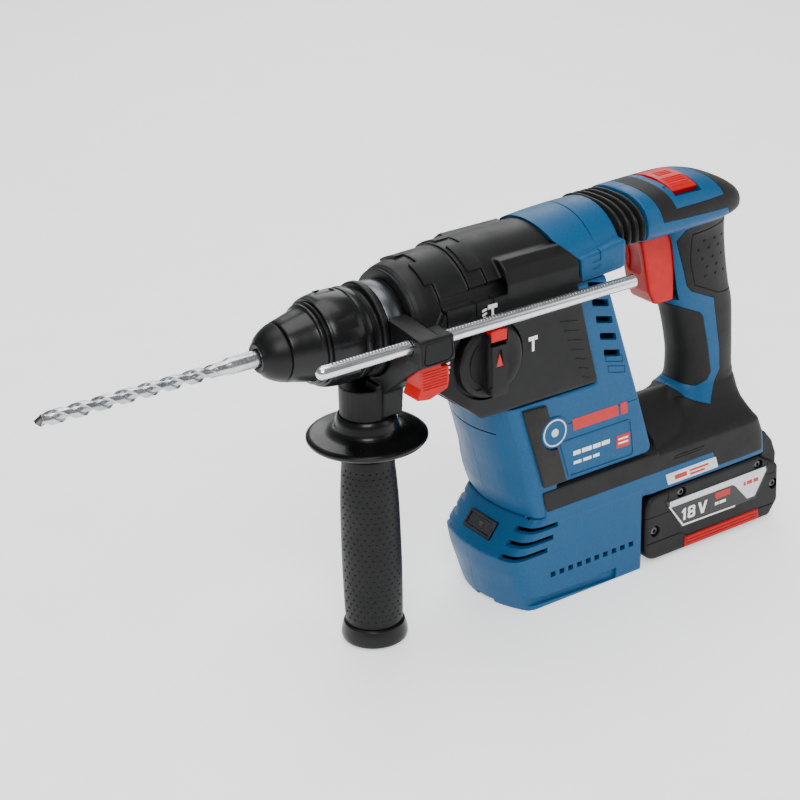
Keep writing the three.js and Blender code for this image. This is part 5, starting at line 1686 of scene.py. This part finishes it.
@dataclass
class SideHandle:
    """The clamp round the neck, the grip below it and the depth rod through it."""

    x: float = -130.5
    guard_z: float = 135.5
    guard_r: float = 35.5
    grip_r: float = 17.5
    rod_y: float = -46.0
    rod_z: float = 203.1
    rod_r: float = 3.9
    rod_front: float = -190.0
    rod_rear: float = 29.0

    def clamp(self) -> None:
        """Builds the clamp head and the strap."""
        head = cad_copy("clamp_head", "clamp_body")
        soften(head, 0.6, 3)
        z = L.spindle_z
        facet = [(-129.2, z - 3.4, 1), (-127.4, z + 8, 1), (-112, z + 8.4, 1), (-109.6, z + 5.6, 1),
                 (-109.6, z - 1.6, 1), (-112, z - 4.4, 1), (-127, z - 4.8, 1)]
        band = prism("band", side, facet, -60, -56.9)
        carve(band, [prism("hole", side, shrunk(facet, 0.7), -61, -56)])
        carve(head, [block("slot", (-134, -60, z - 14), (-131.2, -36, z - 9.4)), band])
        finished(head, Finish.CHARCOAL_NYLON, "side_handle", ["clamp_head"])
        inner, outer = 24.85, 26.0
        strap = turned("steel_strap", "x", L.spindle, [
            (inner, -128.3), (outer - 0.2, -128.3), (outer, -128.0), (outer, -117.3), (outer - 0.2, -117),
            (inner, -117)], ROUND_STEPS)
        finished(strap, Finish.SATIN_STEEL, "side_handle", ["clamp_strap"])

    def guard(self) -> None:
        """Builds the flange above the grip."""
        g, r, axis = self.guard_z, self.guard_r, (self.x, 0, 0)
        profile = [
            (4.7, 118.2), (15.3, 118.2), (15.5, g - 7.4), (17.6, g - 5.4), (22, g - 4.9), (r - 3, g - 4.4),
            (r - 0.9, g - 3.6), (r - 0.1, g - 2.4), (r - 0.2, g - 1.2), (r - 1.2, g - 0.2),
            (r - 3.4, g + 0.2),
            (25, g + 0.9), (21, g + 1.9), (19, g + 3.4), (18.4, g + 5), (18.2, g + 8.6), (17.4, g + 10.6),
            (16.5, g + 12.2), (16.1, g + 12.4), (16.1, g + 6.5), (4.7, g + 6.5),
        ]
        piece = turned("guard_flange", "z", axis, profile, ROUND_STEPS)
        finished(piece, Finish.BLACK_NYLON, "side_grip", ["grip_guard"])

    def sleeve(self) -> None:
        """Builds the dimpled rubber grip."""
        g, r, axis = self.guard_z, self.grip_r, (self.x, 0, 0)
        heights = blended([
            (r - 0.6, 13.2), (r - 0.1, 20), (r + 0.3, 45), (r + 0.25, 62), (r - 0.2, 90), (r - 1.2, 108),
            (r - 1.8, 115), (r - 1.6, g - 8.2)], 5)
        profile = [(4.7, 13.0), (r - 1.2, 13.0), *heights, (r - 2.1, g - 7.5), (15.8, g - 7.5),
                   (15.8, 117.6), (4.7, 117.6)]
        piece = turned("rubber_grip", "z", axis, profile, ROUND_STEPS)
        finished(piece, Finish.GRIP_RUBBER, "side_grip", ["grip_sleeve"])
        spots = []
        rows, around = 29, 24
        for i in range(rows):
            height = 18 + 3.45 * i
            for j in range(around):
                angle = 2 * math.pi * (j + 0.5 * (i % 2)) / around
                if 0.34 < abs(math.sin(angle + 0.6)) :
                    radius = float(np.interp(height, [h for _, h in heights], [v for v, _ in heights]))
                    reach = radius - 0.25
                    spots.append((self.x + reach * math.cos(angle), reach * math.sin(angle), height))
        finished(beads("grip_dots", spots, 0.8), Finish.GRIP_RUBBER, "side_grip")

    def end_cap(self) -> None:
        """Builds the foot of the grip."""
        profile = [
            (0, 1.2), (12, 1.0), (15.4, 0.7), (18, 1.0), (19.5, 1.9), (20, 3.6), (19.9, 5.4), (19.3, 8.4),
            (18.7, 10.4), (18.3, 11.8), (17.2, 12.6), (0, 12.6),
        ]
        piece = turned("grip_foot", "z", (self.x, 0, 0), profile, ROUND_STEPS)
        finished(piece, Finish.BLACK_NYLON, "side_grip", ["grip_end_cap"])

    def depth_stop(self) -> None:
        """Builds the depth rod and its lock button."""
        at, r = (0, self.rod_y, self.rod_z), self.rod_r
        a, b = self.rod_front, self.rod_rear
        profile = [(0, a), (1.2, a + 0.15), (2.6, a + 0.9), (3.5, a + 2.2), (r, a + 4), (r, b - 0.8),
                   (r - 0.7, b), (0, b)]
        piece = turned("depth_stop_rod", "x", at, profile, 64)
        tools = []
        count = 96
        for i in range(count):
            x = a + 10 + 2.1 * i
            tools.append(prism("notch", side, [
                (x, self.rod_z + r - 0.7), (x + 0.8, self.rod_z + r + 0.3), (x - 0.8, self.rod_z + r + 0.3)],
                self.rod_y - 2.8, self.rod_y + 2.8))
        carve(piece, [gathered("notches", tools)])
        finished(piece, Finish.BRIGHT_STEEL, "depth_rod", ["depth_rod"])
        z = L.spindle_z
        button = cad_copy("depth_button", "depth_lock_button")
        ribs = []
        for i in range(7):
            height = z - 11.2 - 1.7 * i
            ribs.append(block("rib", (-126.4, -54, height), (-110.6, -52.0, height + 0.75)))
        soften(button, 0.45, 3)
        carve(button, ribs)
        finished(button, Finish.RED_ABS, "depth_button", ["depth_button"])

    def build(self) -> None:
        """Builds the whole side handle."""
        self.clamp()
        self.guard()
        self.sleeve()
        self.end_cap()
        self.depth_stop()


# ---- Mode knob -------------------------------------------------------------------------------


@dataclass
class ModeKnob:
    """The turning mode selector, its release button and the icons round it."""

    x: float = -71.0
    z: float = 177.0
    radius: float = 22.0
    face_y: float = -45.0

    def knob(self) -> None:
        """Builds the knob with its grip bar."""
        x, z, r, f = self.x, self.z, self.radius, self.face_y
        at = (x, 0, z)
        disc = turned("disc", "y", at, [
            (0, f + 3.6), (14.6, f + 3.6), (16.2, f + 3.2), (r - 2.2, f + 3.2), (r - 0.8, f + 3.7),
            (r, f + 4.8), (r, -34.4), (6, -34.4), (6, -24.6), (0, -24.6)], ROUND_STEPS)
        bar = prism("bar", side, [
            (x - 5.4, z - r + 2.6, 3), (x + 6.4, z - r + 2.6, 3), (x + 6.9, z, 1), (x + 6.4, z + r - 2, 2),
            (x - 5.4, z + r - 2, 2), (x - 5.9, z, 1)], f - 2.9, f + 5, 1.3)
        for flank in (-1, 1):
            scoop = rod("scoop", "z", (x + (0.5 + flank * 14.4), f - 5.4, 0), 9.6, z - 13, z + 13, 64)
            carve(bar, [scoop])
        whole = carve(disc, [bar], "UNION")
        whole.name = "mode_knob_body"
        ring = [turned("crescent", "y", at, [(18.9, f), (18.9, f + 4.0), (15.4, f + 4.0), (15.4, f)], 96)]
        carve(ring[0], [block("keep", (x - 26, f - 1, z - 15), (x - 8, f + 5, z + 15))], "INTERSECT")
        carve(whole, ring)
        carve(whole, [block("room", (x - 5.35, f - 4, z + 11.85), (x + 6.35, f + 4.35, z + r + 4))])
        window = [(x - 2.0, z - 1.2), (x + 3.0, z - 1.2), (x + 1.6, z + 9.4), (x - 0.6, z + 9.4)]
        carve(whole, [prism("window", side, window, f - 4, f - 1.9)])
        finished(whole, Finish.CHARCOAL_NYLON, "mode_knob", ["mode_knob"])
        arrow = [(x - 1.9, z - 1.0), (x + 2.9, z - 1.0), (x + 0.5, z + 6.6)]
        pointer = prism("knob_pointer", side, arrow, f - 2.7, f - 1.7)
        finished(pointer, Finish.RED_PRINT, "mode_knob")

    def button(self) -> None:
        """Builds the red release button."""
        x, z, r, f = self.x, self.z, self.radius, self.face_y
        button = block("release_button", (x - 5, f - 2.6, z + 14.2), (x + 6, f + 4, z + r + 2.6), 0.5)
        carve(button, [rod("rim", "y", (x, 0, z), r - 0.5, f - 4, f + 6, 96)], "INTERSECT")
        button.name = "mode_release_button"
        soften(button, 0.35, 2)
        finished(button, Finish.RED_ABS, "mode_button", ["mode_button"])

    def icon(self, at: Pair, strokes: Sequence[Sequence[Pair]], name: str) -> None:
        """Prints a symbol on the housing beside the knob.

        Args:
            at: its middle, as x and z.
            strokes: outlines round that middle.
            name: the piece's name.
        """
        low, high = -L.unit_half - 0.2, 0.3 - L.unit_half
        marks = [prism("stroke", side, [(at[0] + u, at[1] + v) for u, v in stroke], low, high)
                 for stroke in strokes]
        finished(gathered(name, marks), Finish.WHITE_PRINT, "hammer_unit")

    def build(self) -> None:
        """Builds the knob, its button and the icons."""
        self.knob()
        self.button()
        hammer = [[(-3.2, 2.2), (3.2, 2.2), (3.2, 4.6), (-3.2, 4.6)], [(-0.8, -4.6), (0.8, -4.6), (0.8, 2.2),
                                                                      (-0.8, 2.2)]]
        drill = [[(-0.9, -3.8), (0.9, -3.8), (0.9, -1.8), (-0.9, -1.8)],
                 [(-1.5, -1.2), (1.5, -0.4), (1.5, 0.9), (-1.5, 0.1)],
                 [(-1.5, 1.5), (1.5, 2.3), (1.5, 3.6), (-1.5, 2.8)]]
        both = [[(u + 2.4, v) for u, v in stroke] for stroke in hammer]
        both += [[(u - 3.2, v * 0.9) for u, v in stroke] for stroke in drill]
        self.icon((-70.4, 205.4), both, "icon_hammer_drill")
        self.icon((-39.4, 178.5), hammer, "icon_chisel")
        self.icon((-99.6, 179.6), drill, "icon_drill")


# ---- Battery ---------------------------------------------------------------------------------


@dataclass
class Battery:
    """The slide-in pack: case, cover, labels, ribs, screws and button."""

    half: float = 37.0
    parting_z: float = 34.5
    top_z: float = 49.9
    front_x: float = 50.5
    rear_x: float = 165.3
    rail_half: float = 27.0
    rail_top: float = 58.0
    screws: tuple[Pair, ...] = ((80.0, 44.6), (146.0, 43.8), (58.5, 23.6), (160.3, 26.0))

    def form(self, inset: float = 0.0) -> Piece:
        """The pack's outer form, or its room where inset is the wall."""
        f, r, t = self.front_x + inset, self.rear_x - inset, self.top_z - inset
        corners = [
            (f, t - 1.5, 3 if inset else 11), (f, 3 + inset, 3 if inset else 11),
            (158, 3 + inset, 1 if inset else 4), (r, 13, 1 if inset else 4), (r - 1, 39, 1 if inset else 4),
            (146, t), (78, t),
        ]
        return prism("pack", side, corners, inset - self.half, self.half - inset, 0 if inset else 2.2)

    def shell(self) -> Piece:
        """The hollow pack with its rails, parting step and screw wells."""
        whole = self.form()
        rail = block("rail", (58, -self.rail_half, self.top_z - 6), (146, self.rail_half, self.rail_top), 0.8)
        shoulder = prism("shoulder", side, [
            (151.4, 44), (151.4, 64.6, 1.5), (153.4, 65, 2), (160.6, 56.4, 5), (164.6, 46, 3), (164.4, 36)],
            -33.5, 33.5, 2.2)
        carve(whole, [rail, shoulder], "UNION")
        soften(whole, 0.6, 3)
        room = block("rail_room", (60.4, 2.4 - self.rail_half, self.top_z - 8),
                     (143.6, self.rail_half - 2.4, self.rail_top - 2.4))
        carve(whole, [self.form(2.4), room, block("mouth", (57, -18, 50), (66, 18, self.rail_top + 1))])
        tools = []
        for x, z in self.screws:
            tools.append(turned("well", "y", (x, 0, z), [
                (0, -self.half - 1), (4.4, -self.half - 1), (3.5, -self.half + 0.6), (3.4, -33.2),
                (1.6, -33.2), (1.6, -26), (0, -26)], 48))
        for flank in (-1, 1):
            low, high = sorted((flank * (self.half - 0.5), flank * (self.half + 2)))
            tools.append(prism("step", side, [
                (40, 16.4), (80.4, 16.4), (86, 12.6), (180, 11.6), (180, 10.9), (85.6, 11.9), (80, 15.7),
                (40, 15.7)], low, high))
            for edge in (68.2, 153.8):
                tools.append(block("line", (edge, low, self.parting_z + 4), (edge + 0.6, high, 56)))
        return carve(whole, tools)

    def labels(self) -> None:
        """Builds the silver and black label plates and the red ribbed stripe."""
        for flank in (-1, 1):
            word = "left" if flank < 0 else "right"
            place = flank * self.half

            def skin(depth: float, rise: float) -> list[float]:
                """The lowest and highest y of a plate from depth under the skin to rise over it."""
                return sorted((place - flank * depth, place + flank * rise))

            low, high = skin(0.3, 0.28)
            dark = prism(f"battery_label_{word}", side, [
                (66.6, 41.6, 0.6), (153.6, 41.6, 0.6), (154.2, 37.6, 0.6), (144.4, 20.6, 0.6),
                (80.4, 19.4, 0.6)], low, high)
            silver = prism(f"battery_silver_{word}", side, [
                (70.0, 40.9, 0.5), (152.2, 40.9, 0.5), (152.8, 38.2, 0.5), (143.4, 22.4, 0.5),
                (136.8, 22.4, 0.5), (125.4, 35.4, 0.5), (122.8, 36.6, 0.5),
                (69.8, 36.8, 0.5)], *skin(0.2, 0.42))
            finished(dark, Finish.BLACK_FILM, "battery")
            finished(silver, Finish.SILVER_FILM, "battery")
            low, high = skin(0.2, 0.46)
            line = prism(f"battery_line_{word}", side, [
                (69.0, 37.6), (70.2, 37.4), (81.9, 21.6), (126.4, 20.9), (126.2, 19.9), (81.2, 20.5)],
                low, high)
            finished(line, Finish.WHITE_PRINT, "battery")
            self.numerals(flank, word, low, high)
            bars = [block("bar", (x0, low, 32.6), (x1, high, 35.4)) for x0, x1 in (
                (133.0, 135.0), (136.0, 140.6), (141.6, 146.0))]
            finished(gathered(f"battery_name_{word}", bars), Finish.RED_PRINT, "battery")
            chip = prism(f"battery_chip_{word}", side, [
                (109, 30.6, 0.5), (121.4, 30.6, 0.5), (121.4, 35.2, 0.5), (108, 35.2, 0.5)], low, high)
            finished(chip, Finish.RED_PRINT, "battery")
            small = [block("small", (x0, low, 26.4), (x1, high, 28.4)) for x0, x1 in (
                (108.6, 111.6), (112.4, 117.8))]
            finished(gathered(f"battery_small_print_{word}", small), Finish.WHITE_PRINT, "battery")
            ribs = []
            for i in range(3):
                top = 11.2 - 2.25 * i
                ribs.append(prism("rib", side, [
                    (84.0 + 0.7 * i, top - 1.5, 0.4), (147.4 - 0.7 * i, top - 1.5, 0.4),
                    (146.4 - 0.7 * i, top, 0.4), (84.4 + 0.7 * i, top, 0.4)], *skin(0.6, 0.75)))
            plate = prism(
                "plate", side, [(83.4, 4.6), (148.2, 4.6), (147, 11.8), (83.6, 11.8)], *skin(0.6, 0.3))
            stripe = gathered(f"battery_stripe_{word}", [plate, *ribs])
            finished(stripe, Finish.RED_SILICONE, "battery")

    def numerals(self, flank: int, word: str, low: float, high: float) -> None:
        """Prints the generic voltage, 18 V, in block figures.

        Args:
            flank: -1 for the side at -y and 1 for the other.
            word: left or right, for the piece's name.
            low: the lowest y of the print.
            high: the highest y.
        """
        s, u, v = 1.05, 81.6, 24.4
        strokes = {
            "one": [(0, 0), (1.9, 0), (1.9, 8), (0.6, 8), (-1.3, 6.6), (-1.3, 5), (0, 5.8)],
            "eight": [(4.4, 0), (8.6, 0), (9.5, 0.9), (9.5, 3.3), (8.9, 4.1), (9.4, 4.9), (9.4, 7.1),
                      (8.5, 8), (4.5, 8), (3.6, 7.1), (3.6, 4.9), (4.1, 4.1), (3.5, 3.3), (3.5, 0.9)],
            "volt": [(11.8, 8), (13.8, 8), (15.5, 2.6), (17.2, 8), (19.2, 8), (16.6, 0), (14.4, 0)],
        }
        holes = [[(5.4, 1.5), (7.6, 1.5), (7.6, 3.3), (5.4, 3.3)],
                 [(5.4, 4.9), (7.6, 4.9), (7.6, 6.6), (5.4, 6.6)]]

        def placed(stroke: Sequence[Pair]) -> list[Pair]:
            """Puts a stroke in its place, reversed on the far side so that it reads right."""
            return [((a if flank < 0 else 19 - a) * s + u, b * s + v) for a, b in stroke]

        pieces = []
        for key, stroke in strokes.items():
            figure = prism("figure", side, placed(stroke), low, high)
            if key == "eight":
                carve(figure, [prism("hole", side, placed(hole), low - 1, high + 1) for hole in holes])
            pieces.append(figure)
        finished(gathered(f"voltage_{word}", pieces), Finish.WHITE_PRINT, "battery")

    def screw(self, number: int, at: Pair) -> None:
        """Builds a screw with a six-lobed socket in its head."""
        x, z = at
        piece = turned(f"pack_screw_{number}", "y", (x, 0, z), [
            (0, -36.0), (1.9, -36.0), (2.6, -35.6), (2.9, -34.9), (2.9, -33.5), (1.25, -33.4), (1.25, -27),
            (0, -27)], 48)
        lobes = [rod("core", "y", (x, 0, z), 1.0, -38, -34.6, 24)]
        for i in range(6):
            angle = math.pi * i / 3
            lobes.append(rod("lobe", "y", (x + 1.05 * math.cos(angle), 0, z + 1.05 * math.sin(angle)), 0.4,
                             -38, -34.6, 16))
        carve(piece, lobes)
        finished(piece, Finish.SATIN_STEEL, "battery", [f"battery_screw_{number}"])

    def build(self) -> None:
        """Builds the whole pack."""
        whole = self.shell()
        case = carve(twin(whole, "pack_case"), [
            block("low", (40, -60, -5), (180, 60, self.parting_z - 0.35))], "INTERSECT")
        finished(case, Finish.CHARCOAL_NYLON, "battery", ["battery_case"])
        cover = carve(twin(whole, "pack_cover"), [
            block("high", (40, -60, self.parting_z), (180, 60, 80))], "INTERSECT")
        carve(cover, [block("slot", (141.5, -13.5, 42), (158.5, 13.5, 70))])
        finished(cover, Finish.CHARCOAL_NYLON, "battery", ["battery_cover"])
        discard([whole])
        self.labels()
        for number, at in enumerate(self.screws, 1):
            self.screw(number, at)
        button = prism("pack_release_button", side, [
            (142.5, 48), (157, 46.5, 1), (157, 50, 2), (142.5, self.rail_top - 1.5, 1)], -12.5, 12.5, 0.6)
        ribs = [prism("rib", side, [(x, 57.4 - (x - 142.5) * 0.45), (x + 1.2, 56.9 - (x - 142.5) * 0.45),
                                    (x + 1.2, 54 - (x - 142.5) * 0.45), (x, 54 - (x - 142.5) * 0.45)],
                      -9, 9) for x in (146, 149, 152)]
        carve(button, ribs, "UNION")
        soften(button, 0.45, 2)
        finished(button, Finish.RED_ABS, "battery_button", ["battery_button"])


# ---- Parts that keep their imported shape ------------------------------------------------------


@dataclass
class Mechanism:
    """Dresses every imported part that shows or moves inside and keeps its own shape."""

    def finishes(self) -> dict[str, Finish]:
        """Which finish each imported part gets.

        Returns:
            Finishes by node.
        """
        named = {
            Finish.OILED_STEEL: (
                "rotor_shaft", "intermediate_shaft", "drive_gear", "wobble_drum", "wobble_ring",
                "spindle_gear", "hammer_tube", "impact_bolt", "striker", "piston",
                "spindle_bearing", "upper_bearing", "lower_bearing", "sleeve_spring", "clamp_bolt",
            ),
            Finish.LAMINATION: ("rotor_core", "stator"),
            Finish.INNER_PLASTIC: ("switch_unit", "terminal_block", "motor_fan", "battery_contacts"),
            Finish.CIRCUIT_BOARD: ("motor_controller",),
            Finish.CELL_SLEEVE: ("cell_pack",),
        }
        return {node: finish for finish, nodes in named.items() for node in nodes}

    def build(self) -> None:
        """Gives each part its material."""
        chosen = self.finishes()
        for name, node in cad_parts.items():
            finish = chosen.get(name)
            if finish is None:
                continue
            node.data.materials.clear()
            node.data.materials.append(finish.material())
            log.info("%s keeps its shape, in %s", name, finish.value.name)


# ---- Studio ----------------------------------------------------------------------------------


@dataclass
class Studio:
    """A pale floor, soft lights and the camera."""

    centre: tuple[float, float, float] = (-690.66, -873.63, 628.19)
    turn: float = math.radians(-33.75)
    lift: float = math.radians(24.54)
    roll: float = math.radians(-1.87)
    lens_mm: float = 90.135
    sensor_mm: float = 36.0
    aim: tuple[float, float, float] = (-0.05, 0.0, 0.12)
    lamps: tuple[tuple, ...] = (
        ("key", (-0.9, -1.3, 1.7), 1.0, 34),
        ("fill", (1.4, -1.1, 0.9), 1.2, 8),
        ("top", (-0.1, 0.3, 1.9), 1.4, 26),
        ("back", (0.9, 1.5, 1.2), 1.2, 14),
    )
    floor_reach: float = 6000.0
    floor_glow: float = 0.7
    sky_strength: float = 0.3

    def camera(self) -> None:
        """Places the camera."""
        right = Vector((math.cos(self.turn), math.sin(self.turn), 0))
        back = Vector((
            math.sin(self.turn) * math.cos(self.lift), -math.cos(self.turn) * math.cos(self.lift),
            math.sin(self.lift)))
        upward = back.cross(right)
        c, s = math.cos(self.roll), math.sin(self.roll)
        across, above = right * c + upward * s, upward * c - right * s
        data = bpy.data.cameras.new("camera")
        data.lens, data.sensor_width = self.lens_mm, self.sensor_mm
        data.clip_start, data.clip_end = 0.05, 20.0
        made = bpy.data.objects.new("camera", data)
        made.matrix_world = Matrix.Translation(Vector(self.centre) * MM) @ Matrix(
            (across, above, back)).transposed().to_4x4()
        bpy.context.scene.collection.objects.link(made)
        bpy.context.scene.camera = made

    def lamp(self, name: str, place: Sequence[float], target: Sequence[float], size: float,
             watts: float) -> None:
        """Adds a square soft light.

        Args:
            name: the light's name.
            place: where it stands, in metres.
            target: what it points at.
            size: its side in metres.
            watts: its power.
        """
        data = bpy.data.lights.new(name, "AREA")
        data.shape, data.size, data.energy = "SQUARE", size, watts
        made = bpy.data.objects.new(name, data)
        aim = Vector(target) - Vector(place)
        facing = aim.to_track_quat("-Z", "Y").to_matrix().to_4x4()
        made.matrix_world = Matrix.Translation(Vector(place)) @ facing
        bpy.context.scene.collection.objects.link(made)

    def floor(self) -> None:
        """Lays the pale floor."""
        reach, level = self.floor_reach, frame_floor()
        made = solid("floor", [(-reach, -reach, level), (reach, -reach, level), (reach, reach, level),
                               (-reach, reach, level)], [(0, 1, 2, 3)])
        material, tree, output = new_material("matt_white_paper")
        tone = ramp(tree, noise(tree, 60.0, 2.0), [(0.3, linear("F8F8F8")), (0.7, linear("FCFCFC"))])
        shader = add(
            tree, "ShaderNodeBsdfPrincipled",
            {"Roughness": 0.9, "Specular IOR Level": 0.2, "Emission Color": linear("FFFFFF"),
             "Emission Strength": self.floor_glow}, {"Base Color": tone})
        tree.links.new(shader.outputs[0], output.inputs[0])
        made.data.materials.append(material)

    def build(self) -> None:
        """Builds the studio."""
        self.camera()
        self.floor()
        for name, place, size, watts in self.lamps:
            self.lamp(name, place, self.aim, size, watts)
        world = bpy.data.worlds.new("studio")
        world.use_nodes = True
        sky = world.node_tree.nodes["Background"]
        sky.inputs["Color"].default_value = linear("F4F6F8")
        sky.inputs["Strength"].default_value = self.sky_strength
        bpy.context.scene.world = world


def frame_floor() -> float:
    """The height of the underside of the tool, in millimetres."""
    return CAD_BOX[0][2] / MM - 0.05


def main() -> None:
    """Builds the tool piece by piece, then the studio."""
    logging.basicConfig(level=logging.INFO, format="%(message)s")
    for assembly in ASSEMBLIES:
        assembly().build()


ASSEMBLIES = (
    HandleFrame, Switches, HammerUnit, Chuck, DrillBit, SideHandle, ModeKnob, Battery, Mechanism, Studio,
)

if __name__ == "__main__":
    main()
